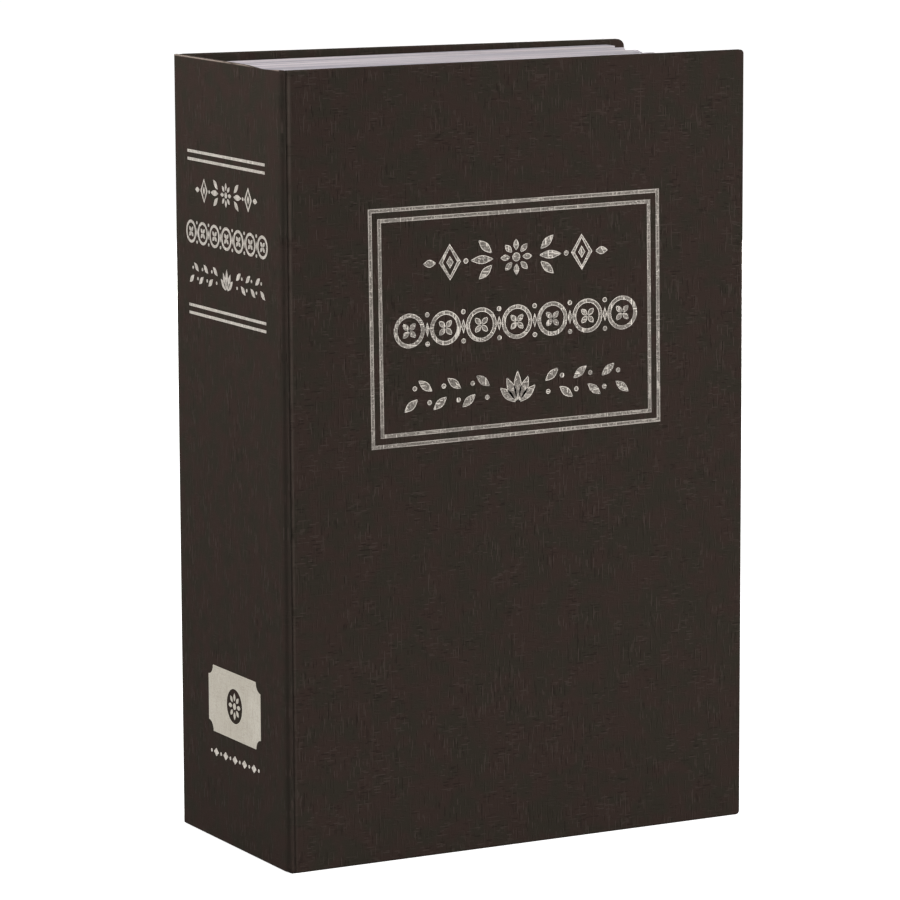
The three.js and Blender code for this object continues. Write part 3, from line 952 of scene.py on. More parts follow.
def eased(points: Sequence[Pair], place: float) -> float:
    """Gives the value at a place between points of a profile, with an easy run from each to the next.

    Args:
        points: The place and the value of each point, in order.
        place: Where the value is wanted.

    Returns:
        The value.
    """
    for (start, first), (end, second) in zip(points, points[1:]):
        if place <= end:
            share = max(0.0, (place - start) / (end - start))
            return first + (second - first) * share * share * (3 - 2 * share)
    return points[-1][1]


def bend_rims(
    bm: BMesh, along: int, cuts: int, head_shift: Callable[[float], float], tail_shift: float = 0.0
) -> BMesh:
    """Moves the head and the tail edge of a plate up or down.

    Args:
        bm: The plate.
        along: The axis that the edges run along.
        cuts: How often they are divided.
        head_shift: Gives the head edge's shift for a place along the axis.
        tail_shift: The tail edge's shift.

    Returns:
        The same plate.
    """
    reach = 12.0
    bmesh.ops.subdivide_edges(bm, edges=edges_along(bm, along), cuts=cuts)
    heights = [vert.co.z for vert in bm.verts]
    head, tail = max(heights), min(heights)
    for vert in bm.verts:
        head_share = max(0.0, 1 - (head - vert.co.z) / reach)
        tail_share = max(0.0, 1 - (vert.co.z - tail) / reach)
        vert.co.z += head_shift(vert.co[along]) * head_share + tail_shift * tail_share
    return bm


class Carve(Enum):
    """What a second solid does to a first."""

    REMOVE = "DIFFERENCE"
    KEEP = "INTERSECT"
    ADD = "UNION"


def linked(name: str, data: ID) -> Object:
    """Makes an object of some data and puts it in the scene.

    Args:
        name: The object's name.
        data: Its data.

    Returns:
        The object.
    """
    made = bpy.data.objects.new(name, data)
    bpy.context.scene.collection.objects.link(made)
    return made


def as_object(name: str, bm: BMesh) -> Object:
    """Makes an object, in metres, of a mesh in millimetres, which is used up.

    Args:
        name: The object's name.
        bm: The mesh.

    Returns:
        The object.
    """
    bmesh.ops.scale(bm, vec=(MM, MM, MM), verts=bm.verts)
    data = bpy.data.meshes.new(name)
    bm.to_mesh(data)
    bm.free()
    return linked(name, data)


def carved(bm: BMesh, tool: BMesh, how: Carve = Carve.REMOVE) -> BMesh:
    """Cuts or joins two solids.

    Args:
        bm: The solid that is worked on.
        tool: The other solid.
        how: What is done with it.

    Returns:
        The result, as a new mesh.
    """
    objects = [as_object("carve", mesh) for mesh in (bm, tool)]
    modifier = objects[0].modifiers.new("carve", "BOOLEAN")
    modifier.operation = how.value
    modifier.object = objects[1]
    modifier.solver = "EXACT"
    modifier.use_self = True
    graph = bpy.context.evaluated_depsgraph_get()
    result = bmesh.new()
    result.from_mesh(objects[0].evaluated_get(graph).to_mesh())
    for made in objects:
        data = made.data
        bpy.data.objects.remove(made)
        bpy.data.meshes.remove(data)
    bmesh.ops.scale(result, vec=TO_MM, verts=result.verts)
    bmesh.ops.remove_doubles(result, verts=result.verts, dist=SAME_PLACE)
    return result


@dataclass
class Piece:
    """What a finished mesh is called, made of and moved by."""

    name: str
    finish: Finish
    body: Body
    replaces: str = ""
    edge: float = 0.0
    wall: float = 0.0
    wall_offset: float = -1.0
    smooth_below: float = SHARP_DEGREES
    bend: tuple[Body, Body, Vector, Vector] | None = None

    def make(self, bm: BMesh) -> None:
        """Turns a mesh in millimetres into the finished piece.

        Args:
            bm: The mesh, which is used up.
        """
        bm.normal_update()
        for face in bm.faces:
            face.smooth = True
        for edge in hard_edges(bm, self.smooth_below):
            edge.smooth = False
        piece = as_object(self.name, bm)
        piece.data.materials.append(self.finish.material())
        self.refine(piece)
        self.attach(piece)
        log.info("%s: %d faces", self.name, len(piece.data.polygons))

    def refine(self, piece: Object) -> None:
        """Gives a sheet its wall and an edge its small rounding.

        Args:
            piece: The piece's object.
        """
        if self.wall:
            wall = piece.modifiers.new("wall", "SOLIDIFY")
            wall.thickness = self.wall * MM
            wall.offset = self.wall_offset
            wall.use_even_offset = True
        if self.edge:
            edge = piece.modifiers.new("edge", "BEVEL")
            edge.width = self.edge * MM
            edge.segments = 2
            edge.limit_method = "ANGLE"
            edge.angle_limit = math.radians(SHARP_DEGREES)
        piece.modifiers.new("shading", "WEIGHTED_NORMAL").keep_sharp = True

    def attach(self, piece: Object) -> None:
        """Ties the piece to its body, unless it has a bend, and hides the CAD node that it stands for.

        Args:
            piece: The piece's object.
        """
        if self.bend:
            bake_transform(piece)
        else:
            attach(piece, self.body.value)
        if self.replaces:
            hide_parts(self.replaces)


# Book case


@dataclass
class Cover:
    """One cover of the case: cloth folded round a board, with paper pasted inside."""

    side: Side
    body: Body
    corner_radius: float
    hinge_drop: float = 0.0
    fore_edge_drop: float = 0.0
    drop_reach: float = 110.0
    lean: float = 0.0
    lean_width: float = 1.0
    edge_radius: float = 0.7
    paper_step: float = 0.15
    paper_step_width: float = 1.2
    paper_drop: float = 1.3
    cuts: int = 24

    def __post_init__(self) -> None:
        """Works out which way the cover's inside looks, and takes its box from the CAD node."""
        self.word = self.side.name.lower()
        self.inward = Vector((0, -self.side.value, 0))
        self.low, self.high = cad_box(f"{self.word}_cover_cloth")

    def head_shift(self, x: float) -> float:
        """Gives the shift of the head edge, which droops towards one of its ends.

        Args:
            x: The place along the edge.

        Returns:
            The shift, which is negative where the edge droops.
        """
        from_hinge = max(0.0, 1 - (x - self.low.x) / self.drop_reach)
        from_fore_edge = max(0.0, 1 - (self.high.x - x) / self.drop_reach)
        return -self.hinge_drop * from_hinge - self.fore_edge_drop * from_fore_edge

    def skin(self) -> None:
        """Makes the cloth: a plate, open inside where its turned-in edges end."""
        bm = open_plate(self.low, self.high, self.inward, TURN_IN)
        corners = [edge for edge in edges_along(bm, Y) if edge.calc_length() > self.edge_radius]
        round_edges(bm, [edge for edge in corners if edge.verts[0].co.x > 0], self.corner_radius, 5)
        round_edges(bm, hard_edges(bm), self.edge_radius, 4)
        bend_rims(bm, X, self.cuts, self.head_shift)
        for vert in bm.verts:
            if vert.co.x < self.low.x + self.lean_width:
                vert.co.x -= self.lean * (vert.co.z - self.low.z) / (self.high.z - self.low.z)
        hinge_edge = rubbed_and_highlit_box(self.low - Vector((0, 0, TURN_IN)), self.high + Vector((2, 0, 1)) * TURN_IN)
        # The lighter edge colour here is a painted highlight along the cover's hinge edge, in part rubbed
        # cloth.
        finish = Bookcloth(
            f"{self.word}_bookcloth", worn_and_highlight=srgb(77, 68, 62), wear=0.5, wear_and_highlight_width_mm=0.9, **hinge_edge
        )
        node = f"{self.word}_cover_cloth"
        piece = Piece(f"{self.word}_cover_skin", finish, self.body, node, wall=CLOTH_WALL)
        piece.make(bm)

    def stiffener(self) -> None:
        """Makes the board inside, whose head edge sags like the cloth's."""
        node = f"{self.word}_board"
        bm = slab(*cad_box(node))
        corners = [edge for edge in edges_along(bm, Y) if edge.verts[0].co.x > 0]
        round_edges(bm, corners, self.corner_radius, 5)
        bend_rims(bm, X, self.cuts, self.head_shift)
        Piece(f"{self.word}_stiffener", BOARD, self.body, node).make(bm)

    def pastedown(self) -> None:
        """Makes the paper inside, which shows the step where the cloth's turned-in edges end."""
        node = f"{self.word}_endpaper"
        low, high = cad_box(node)
        high.z -= self.paper_drop
        if self.side is Side.FRONT:
            low.y = self.high.y
        else:
            high.y = self.low.y
        bm = slab(low, high)
        inside = faces_towards(bm, self.inward)
        border = TURN_IN - (low.z - self.low.z)
        bmesh.ops.inset_region(bm, faces=inside, thickness=border)
        bmesh.ops.inset_region(bm, faces=inside, thickness=self.paper_step_width, depth=-self.paper_step)
        piece = Piece(f"{self.word}_pastedown", ENDPAPER, self.body, node, smooth_below=60)
        piece.make(bm)

    def make(self) -> None:
        """Makes the cover's three pieces."""
        self.skin()
        self.stiffener()
        self.pastedown()


@dataclass
class Spine:
    """The flat spine, whose head edge sags a little near the front joint."""

    corner_radius: float = 1.4
    edge_radius: float = 0.55
    joint_ease: float = 0.6
    sag: float = 0.6
    sag_place: float = -24.0
    sag_reach: float = 8.0
    cuts: int = 40

    def head_shift(self, y: float) -> float:
        """Gives the shift of the head edge."""
        return -self.sag * math.exp(-(((y - self.sag_place) / self.sag_reach) ** 2))

    def narrowed(self, node: str, ease: float) -> tuple[Vector, Vector]:
        """Gives a CAD node's box, narrowed at both joints."""
        low, high = cad_box(node)
        return low + Vector((0, ease, 0)), high - Vector((0, ease, 0))

    def skin(self) -> None:
        """Makes the cloth round the spine's board."""
        low, high = cad_box("spine_cloth")
        bm = open_plate(*self.narrowed("spine_cloth", self.joint_ease), (1, 0, 0), TURN_IN)
        upright = [edge for edge in edges_along(bm, Z) if edge.verts[0].co.x < low.x + NEAR]
        round_edges(bm, upright, self.corner_radius, 6)
        rims = [edge for edge in hard_edges(bm) if abs(edge.verts[0].co.z - edge.verts[1].co.z) < NEAR]
        round_edges(bm, rims, self.edge_radius, 3)
        bend_rims(bm, Y, self.cuts, self.head_shift, TAIL_LIFT)
        head_edge = rubbed_and_highlit_box(low - Vector((0, 1, 2)) * TURN_IN, high + Vector((0, 1, 0)) * TURN_IN)
        finish = Bookcloth(
            "spine_bookcloth", level_threads=0.3,
            worn_and_highlight=srgb(176, 160, 149), wear=0.62, wear_and_highlight_width_mm=0.5, **head_edge,
        )
        piece = Piece("spine_skin", finish, Body.CASE, "spine_cloth", wall=CLOTH_WALL)
        piece.make(bm)

    def stiffener(self) -> None:
        """Makes the board inside, with the same dip."""
        bm = slab(*self.narrowed("spine_board", self.joint_ease + CLOTH_WALL))
        bend_rims(bm, Y, self.cuts, self.head_shift, TAIL_LIFT)
        Piece("spine_stiffener", BOARD, Body.CASE, "spine_board").make(bm)

    def lining(self) -> None:
        """Makes the paper inside, which ends where the cloth of the joints begins."""
        bm = slab(*self.narrowed("spine_lining", self.joint_ease))
        Piece("spine_inner_lining", ENDPAPER, Body.CASE, "spine_lining").make(bm)

    def make(self) -> None:
        """Makes the spine's pieces."""
        self.skin()
        self.stiffener()
        self.lining()


@dataclass
class Joint:
    """The cloth that wraps the spine's edge and dips before the cover's edge, less near head and tail.

    A profile is a row of points: how far from the spine's outer face, and how deep under the cover's.
    """

    side: Side
    lean: float = 0.0
    groove: tuple[Pair, ...] = (
        (0.1, 1.5), (0.3, 0.95), (0.6, 0.62), (1.05, 0.34), (1.6, 0.34), (2.2, 0.46), (2.6, 0.43), (3.1, 0.42)
    )
    level: tuple[Pair, ...] = ((0.1, 1.4), (0.35, 0.8), (0.8, 0.4), (1.3, 0.22), (2.1, 0.4), (3.1, 0.3))
    bend_start: float = 1.05
    margin: float = 0.12
    tail_reach: float = 14.0
    head_reach: float = 5.0
    lifted_width: float = 1.5
    wall: float = 0.25
    steps: int = 160
    cuts: int = 24
    wrinkle: float = 0.05
    wrinkle_pitch: float = 2.3

    def __post_init__(self) -> None:
        """Takes the strip's ends and planes from the CAD nodes."""
        self.word = self.side.name.lower()
        low, high = cad_box(f"{self.word}_cover_cloth")
        self.tail, self.head = low.z + self.margin, high.z - self.margin
        self.outer_y = low.y if self.side is Side.FRONT else high.y
        self.spine_x, self.cover_x = cad_box("spine_cloth")[0].x, low.x

    def depth(self, offset: float, z: float) -> float:
        """Gives how deep the cloth lies under the cover's outer face.

        Args:
            offset: The distance from the spine's outer face.
            z: The height.

        Returns:
            The depth.
        """
        from_tail = min(1.0, (z - self.tail) / self.tail_reach)
        share = from_tail * min(1.0, (self.head - z) / self.head_reach)
        ripple = self.wrinkle * math.sin(z * math.tau / self.wrinkle_pitch) * (1 - from_tail)
        level, groove = eased(self.level, offset), eased(self.groove, offset)
        return level + (groove - level) * share + ripple

    def strip(self) -> BMesh:
        """Shapes the strip: a flat one is drawn out from the spine's edge and laid into the groove.

        Returns:
            The mesh.
        """
        outward = self.side.value
        height = self.head - self.tail
        start, end = self.groove[0][0], self.groove[-1][0]
        bm = bmesh.new()
        edges = chain(bm, ((start, 0.0, self.tail + height * i / self.steps) for i in range(self.steps + 1)))
        for _ in range(self.cuts):
            edges = extruded(bm, edges, ((end - start) / self.cuts, 0, 0))
        for vert in bm.verts:
            offset, _, z = vert.co
            share = (z - self.tail) / height
            lifted = z + TAIL_LIFT * (1 - share) * max(0.0, 1 - offset / self.lifted_width)
            narrowed = offset - self.lean * share * offset / end
            vert.co = (self.spine_x + narrowed, self.outer_y - outward * self.depth(offset, z), lifted)
        bmesh.ops.recalc_face_normals(bm, faces=bm.faces)
        if sum(face.normal.y * outward for face in bm.faces) < 0:
            bmesh.ops.reverse_faces(bm, faces=bm.faces)
        return bm

    def make(self) -> None:
        """Makes the joint. The front one holds a bend from the case to the front cover, which nothing reads,
        and rides on no body.
        """
        # The joint's cloth is a little darker than the covers': painted shade in the groove.
        finish = Bookcloth(
            f"{self.word}_joint_bookcloth", level_threads=0.2, wear=0.0,
            warm=srgb(50, 42, 38), cool=srgb(46, 42, 37),
        )
        node = f"{self.word}_hinge_cloth"
        name = f"{self.word}_joint"
        piece = Piece(name, finish, Body.CASE, node, wall=self.wall, smooth_below=60)
        if self.side is Side.FRONT:
            y = self.outer_y + self.groove[-1][1]
            start = Vector((self.spine_x + self.bend_start, y, 0))
            piece.bend = (Body.CASE, Body.FRONT_COVER, start, Vector((self.cover_x - self.lean, y, 0)))
        piece.make(self.strip())


# Foil


class Stamp:
    """Flat foil shapes in X and Y, in millimetres, which are then raised to a thin sheet."""

    def __init__(self) -> None:
        """Starts an empty stamp."""
        self.bm = bmesh.new()

    def polygon(self, place: Matrix, sides: int, filled: bool = True) -> list[BMVert]:
        """Draws a regular polygon of radius 1 through a matrix."""
        made = bmesh.ops.create_circle(self.bm, cap_ends=filled, radius=1.0, segments=sides, matrix=place)
        return made["verts"]

    def hollow(self, outer: Matrix, inner: Matrix, sides: int) -> None:
        """Draws a polygon with a hole of the same number of sides.

        Args:
            outer: The matrix of its outline.
            inner: The matrix of the hole.
            sides: How many sides both have.
        """
        loops = [self.polygon(place, sides, filled=False) for place in (outer, inner)]
        edges = {edge for loop in loops for vert in loop for edge in vert.link_edges}
        bmesh.ops.bridge_loops(self.bm, edges=list(edges))

    def disc(self, x: float, y: float, radius: float) -> None:
        """Draws a round dot."""
        self.polygon(placed(x, y, radius, radius), 20)

    def ring(self, x: float, y: float, radius: float, width: float) -> None:
        """Draws a ring inside a radius."""
        self.hollow(placed(x, y, radius, radius), placed(x, y, radius - width, radius - width), 36)

    def lozenge(self, x: float, y: float, width: float, height: float) -> None:
        """Draws a lozenge."""
        self.polygon(placed(x, y, width / 2, height / 2), 4)

    def open_lozenge(self, x: float, y: float, width: float, height: float, line: float) -> None:
        """Draws the outline of a lozenge."""
        self.hollow(*(placed(x, y, width / 2 - inset, height / 2 - inset) for inset in (0, line)), 4)

    def frame(self, width: float, height: float, line: float) -> None:
        """Draws the outline of a rectangle round (0, 0)."""
        self.hollow(*(squared(0, 0, width - inset, height - inset) for inset in (0, 2 * line)), 4)

    def bar(self, y: float, width: float, height: float) -> None:
        """Draws a filled rectangle in the middle, at a height."""
        self.polygon(squared(0, y, width, height), 4)

    def leaf(self, x: float, y: float, length: float, width: float, degrees: float) -> None:
        """Draws a pointed leaf from its foot, at an angle from X.

        Args:
            x: The foot's place.
            y: The foot's height.
            length: The leaf's length.
            width: Its greatest width.
            degrees: The angle.
        """
        verts = self.polygon(Matrix.Identity(4), 24)
        for vert in verts:
            share = (vert.co.x + 1) / 2
            half = width / 2 * math.sin(math.pi * share) ** 1.2
            vert.co.y = math.copysign(half, vert.co.y) if 0.001 < share < 0.999 else 0.0
            vert.co.x = share * length
        turn = Matrix.Translation((x, y, 0)) @ Matrix.Rotation(math.radians(degrees), 4, "Z")
        bmesh.ops.transform(self.bm, matrix=turn, verts=verts)

    def lay(self, name: str, finish: Finish, body: Body, rim: float, place: Matrix) -> None:
        """Raises the flat shapes to foil, with a rim for a painted highlight along their outlines, and lays
        it on a face.

        Args:
            name: The piece's name.
            finish: Its foil.
            body: What it rides on.
            rim: How wide the rim with its painted highlight is.
            place: Takes the foil's back, at z 0, to its place, and Z to the way that it looks.
        """
        bm = self.bm
        bm.normal_update()
        bmesh.ops.reverse_faces(bm, faces=[face for face in bm.faces if face.normal.z < 0])
        layer = bm.faces.layers.float.new(RIM_LAYER)
        inset = {"thickness": rim, "use_even_offset": True, "use_boundary": True}
        for face in bmesh.ops.inset_region(bm, faces=bm.faces[:], **inset)["faces"]:
            face[layer] = 1.0
        thickened(bm, FOIL_THICKNESS)
        bmesh.ops.transform(bm, matrix=place @ Matrix.Translation((0, 0, -FOIL_SUNK)), verts=bm.verts)
        Piece(name, finish, body).make(bm)


def placed(x: float, y: float, half_width: float, half_height: float) -> Matrix:
    """Gives the matrix that scales a shape of radius 1 and moves it."""
    return Matrix.Translation((x, y, 0)) @ Matrix.Diagonal((half_width, half_height, 1, 1))


def squared(x: float, y: float, width: float, height: float) -> Matrix:
    """Gives the matrix that makes a four-sided polygon of radius 1 a rectangle."""
    corner = math.sqrt(2) / 2
    return placed(x, y, corner * width, corner * height) @ Matrix.Rotation(math.pi / 4, 4, "Z")


@dataclass
class Tooling:
    """Three rows of traditional bookbinder's tooling, drawn round (0, 0) at the front cover's scale."""

    stamp: Stamp
    scale: float = 1.0

    def rosette(self, x: float, y: float, radius: float, petals: int = 8) -> None:
        """Draws a flower with a dot in its middle.

        Args:
            x: The middle's place.
            y: The middle's height.
            radius: The flower's radius.
            petals: How many petals it has.
        """
        core = 0.24 * radius
        foot = core + 0.1 * radius
        width = 1.7 * radius / petals * math.pi / 2
        self.stamp.disc(x, y, core)
        for i in range(petals):
            angle = math.tau * i / petals
            foot_x, foot_y = x + foot * math.cos(angle), y + foot * math.sin(angle)
            self.stamp.leaf(foot_x, foot_y, radius - foot, width, math.degrees(angle))

    def sprig(self, x: float, y: float, side: int) -> None:
        """Draws three leaves and a bud, which point to one side.

        Args:
            x: The foot's place.
            y: The foot's height.
            side: 1 to point right, or -1 to point left.
        """
        s = self.scale
        lean = 0 if side > 0 else 180
        self.stamp.leaf(x, y, 8.2 * s, 2.6 * s, lean)
        for up in (1, -1):
            self.stamp.leaf(x + side * 0.6 * s, y + up * 1.7 * s, 6.4 * s, 2.5 * s, lean + up * side * 42)
        self.stamp.disc(x + side * 9.6 * s, y, 0.8 * s)

    def flower_row(self, y: float) -> None:
        """Draws the top row: a rosette between sprigs and lozenges.

        Args:
            y: The row's height.
        """
        s = self.scale
        self.rosette(0, y, 5.6 * s)
        for side in (-1, 1):
            self.sprig(side * 7.6 * s, y, side)
            self.stamp.open_lozenge(side * 22.6 * s, y, 7.4 * s, 11.0 * s, 1.3 * s)
            self.stamp.lozenge(side * 22.6 * s, y, 2.4 * s, 3.8 * s)
            self.stamp.leaf(side * 27.2 * s, y, 4.6 * s, 2.4 * s, 0 if side > 0 else 180)

    def chain_row(self, y: float) -> None:
        """Draws the middle row: rings round four leaves, and lozenges between two dots, in turn.

        Args:
            y: The row's height.
        """
        s = self.scale
        pitch = 6.1 * s
        for i in range(-6, 7):
            x = i * pitch
            if i % 2 == 0:
                self.stamp.ring(x, y, 5.2 * s, 1.25 * s)
                for turn in range(4):
                    self.stamp.leaf(x, y, 3.2 * s, 1.7 * s, 45 + 90 * turn)
            else:
                self.stamp.lozenge(x, y, 1.5 * s, 4.4 * s)
                for side in (-1, 1):
                    self.stamp.disc(x, y + side * 4.4 * s, 0.75 * s)

    def garland_row(self, y: float) -> None:
        """Draws the bottom row: a fan of leaves in the middle, and leaning leaves to both ends.

        Args:
            y: The row's height.
        """
        s = self.scale
        foot = 0.8 * s
        for i in range(-2, 3):
            reach = (10.6 - 1.1 * abs(i)) * s
            angle = 90 - 24 * i
            foot_x = foot * math.cos(math.radians(angle))
            foot_y = y - 5.3 * s + foot * math.sin(math.radians(angle))
            self.stamp.leaf(foot_x, foot_y, reach - foot, 2.7 * s, angle)
        for side in (-1, 1):
            for i in range(6):
                x = side * (9.4 + 4.9 * i) * s
                up = 1 if i % 2 == 0 else -1
                self.stamp.leaf(x, y + up * 0.9 * s, 6.2 * s, 2.5 * s, up * (90 - side * 52))
                self.stamp.disc(x + side * 1.1 * s, y - up * 2.3 * s, 0.75 * s)

    def rows(self, heights: Triple) -> None:
        """Draws the three rows, from the top one down."""
        for row, height in zip((self.flower_row, self.chain_row, self.garland_row), heights):
            row(height)


@dataclass
class FrontFoil:
    """The foil on the front cover: a double frame with three rows of tooling in it."""

    middle_x: float = -0.75
    middle_z: float = 162.5
    tilt: float = 0.6
    outer: Pair = (99.6, 71.8)
    inner: Pair = (93.4, 65.6)
    line: float = 1.2
    row_heights: Triple = (18.4, -1.2, -21.0)
    frame_rim: float = 0.24
    row_rim: float = 0.2

    def make(self) -> None:
        """Makes the frame and the rows."""
        low, _ = cad_box("front_cover_cloth")
        turn = Matrix.Rotation(math.pi / 2, 4, "X") @ Matrix.Rotation(math.radians(self.tilt), 4, "Z")
        place = Matrix.Translation((self.middle_x, low.y, self.middle_z)) @ turn
        rules, rows = Stamp(), Stamp()
        for width, height in (self.outer, self.inner):
            rules.frame(width, height, self.line)
        rules.lay("front_frame_foil", FRAME_FOIL, Body.FRONT_COVER, self.frame_rim, place)
        Tooling(rows).rows(self.row_heights)
        rows.lay("front_tooling_foil", TOOLING_FOIL, Body.FRONT_COVER, self.row_rim, place)


@dataclass
class SpineFoil:
    """The foil on the spine: double rules round three rows of tooling, and a plaque near the tail."""

    middle_y: float = 0.45
    rule_length: float = 53.4
    rule_heights: tuple[float, ...] = (211.5, 209.1, 164.5, 162.1)
    rule_line: float = 0.85
    row_heights: Triple = (200.1, 187.0, 174.5)
    row_scale: float = 0.675
    plaque_y: float = -1.5
    plaque_z: float = 44.5
    plaque_size: Pair = (36.3, 20.7)
    plaque_corner: float = 3.2
    window_radius: float = 5.4
    rosette_radius: float = 4.3
    imprint_z: float = 27.8
    imprint_pitch: float = 3.3

    def plaque(self) -> Stamp:
        """Draws a plaque with scooped corners, cut out round a rosette.

        Returns:
            The stamp.
        """
        stamp = Stamp()
        half_width, half_height = (size / 2 for size in self.plaque_size)
        border = []
        for turn, (side_x, side_y) in enumerate(((1, 1), (-1, 1), (-1, -1), (1, -1))):
            for step in range(7):
                angle = math.radians(270 + 90 * turn - 15 * step)
                corner_x = side_x * half_width + self.plaque_corner * math.cos(angle)
                corner_y = side_y * half_height + self.plaque_corner * math.sin(angle)
                border.append(stamp.bm.verts.new((corner_x, corner_y, 0)))
        window = stamp.polygon(placed(0, 0, self.window_radius, self.window_radius), 32, filled=False)
        edges = [stamp.bm.edges.new(pair) for pair in zip(border, border[1:] + border[:1])]
        edges += list({edge for vert in window for edge in vert.link_edges})
        bmesh.ops.triangle_fill(stamp.bm, edges=edges, use_beauty=True)
        Tooling(stamp).rosette(0, 0, self.rosette_radius)
        return stamp

    def imprint(self) -> Stamp:
        """Draws a small row of lozenges and dots.

        Returns:
            The stamp.
        """
        stamp = Stamp()
        for i in range(-5, 6):
            if i % 2 == 0:
                stamp.lozenge(self.imprint_pitch * i, 0, 3.4, 2.6)
            else:
                stamp.disc(self.imprint_pitch * i, 0, 0.55)
        return stamp

    def make(self) -> None:
        """Makes the rules, the rows, the plaque and the small row under it."""
        rules, rows = Stamp(), Stamp()
        for z in self.rule_heights:
            rules.bar(z, self.rule_length, self.rule_line)
        Tooling(rows, self.row_scale).rows(self.row_heights)
        low, _ = cad_box("spine_cloth")
        onto_spine = Matrix(((0, 0, -1), (-1, 0, 0), (0, 1, 0))).to_4x4()
        for name, stamp, finish, y, z, rim in (
            ("spine_rules_foil", rules, SPINE_FOIL, self.middle_y, 0, 0.1),
            ("spine_tooling_foil", rows, SPINE_FOIL, self.middle_y, 0, 0.1),
            ("spine_plaque_foil", self.plaque(), EMBLEM_FOIL, self.plaque_y, self.plaque_z, 0.2),
            ("spine_imprint_foil", self.imprint(), SPINE_FOIL, self.plaque_y, self.imprint_z, 0.08),
        ):
            stamp.lay(name, finish, Body.CASE, rim, Matrix.Translation((low.x, y, z)) @ onto_spine)


# Page block


@dataclass
class PageBlock:
    """The moulded pages round the steel box: groups of leaves whose ends step back along the fore-edge."""

    groups: int = 6
    leaves: int = 20
    scoop: float = 7.0
    slant: float = 3.6
    slant_spread: float = 0.08
    slant_turn: float = 2.4
    fall: float = 0.07
    head_drop: float = 0.9
    groove: float = 0.45
    leaf_step: float = 0.07
    group_step: float = 0.12
    box_gap: float = 0.3
    seed: int = 7

    def __post_init__(self) -> None:
        """Takes the block's planes from the CAD nodes."""
        self.low, self.high = cad_box("page_frame")
        self.high.z -= self.head_drop
        chord = self.high.y - self.low.y
        self.middle_y = (self.high.y + self.low.y) / 2
        self.radius = chord**2 / (8 * self.scoop) + self.scoop / 2
        self.pitch = chord / self.groups
        self.random = random.Random(self.seed)

    def fore_edge(self, y: float, share: float, slant: float) -> float:
        """Gives the fore-edge's place at a depth in the block.

        Args:
            y: The depth.
            share: How far through its group the leaf lies.
            slant: How far the group's longest leaf stands out.

        Returns:
            The place along X.
        """
        centre_x = self.high.x - self.scoop + self.radius
        curve = centre_x - math.sqrt(self.radius**2 - (y - self.middle_y) ** 2)
        rise = min(share / (1 - self.fall), (1 - share) / self.fall)
        return min(self.high.x, curve + slant * rise)

    def outline(self, y: float, fore_edge: float, tail: float, head: float) -> list[Vector]:
        """Gives the C-shaped outline of a leaf at one depth.

        Args:
            y: The depth.
            fore_edge: Where its fore-edge lies.
            tail: Where its tail lies.
            head: Where its head lies.

        Returns:
            The eight corners, the outer four first.
        """
        box_low, box_high = cad_box("box_body")
        window_x = box_high.x + self.box_gap
        window_tail, window_head = box_low.z - self.box_gap, box_high.z + self.box_gap
        spine_x = self.low.x
        corners = (
            (spine_x, tail), (fore_edge, tail), (fore_edge, head), (spine_x, head),
            (spine_x, window_head), (window_x, window_head), (window_x, window_tail), (spine_x, window_tail),
        )
        return [Vector((x, y, z)) for x, z in corners]

    def leaf_outlines(self) -> list[list[Vector]]:
        """Gives both outlines of every leaf, from the front cover to the back cover.

        Returns:
            The corners of each outline.
        """
        thickness = self.pitch / self.leaves
        outlines = []
        for group in range(self.groups):
            held = [self.random.uniform(0, self.group_step) for _ in range(3)]
            slant = self.slant * (1 + self.slant_spread * math.sin(group * self.slant_turn))
            for leaf in range(self.leaves):
                start = self.low.y + group * self.pitch + leaf * thickness
                sunk = self.groove if leaf == 0 and group else 0.0
                steps = [self.random.uniform(0, self.leaf_step) + step + sunk for step in held]
                fore_edge = self.fore_edge(start + thickness / 2, leaf / (self.leaves - 1), slant) - steps[0]
                tail, head = self.low.z + steps[1], self.high.z - steps[2]
                outlines += [self.outline(y, fore_edge, tail, head) for y in (start, start + thickness)]
        return outlines

    def make(self) -> None:
        """Lofts the block leaf by leaf."""
        bm = bmesh.new()
        loops = [[bm.verts.new(corner) for corner in outline] for outline in self.leaf_outlines()]
        for near, far in zip(loops, loops[1:]):
            for i in range(len(near)):
                bm.faces.new((near[i - 1], near[i], far[i], far[i - 1]))
        for loop in (loops[0], loops[-1]):
            bm.faces.new(loop)
        finish = PageEdges("page_edges", group_start_mm=self.low.y, group_pitch_mm=self.pitch)
        piece = Piece("page_block", finish, Body.CASE, "page_frame", smooth_below=25)
        piece.make(cleaned(bm))


# Steel box, lid and hinge


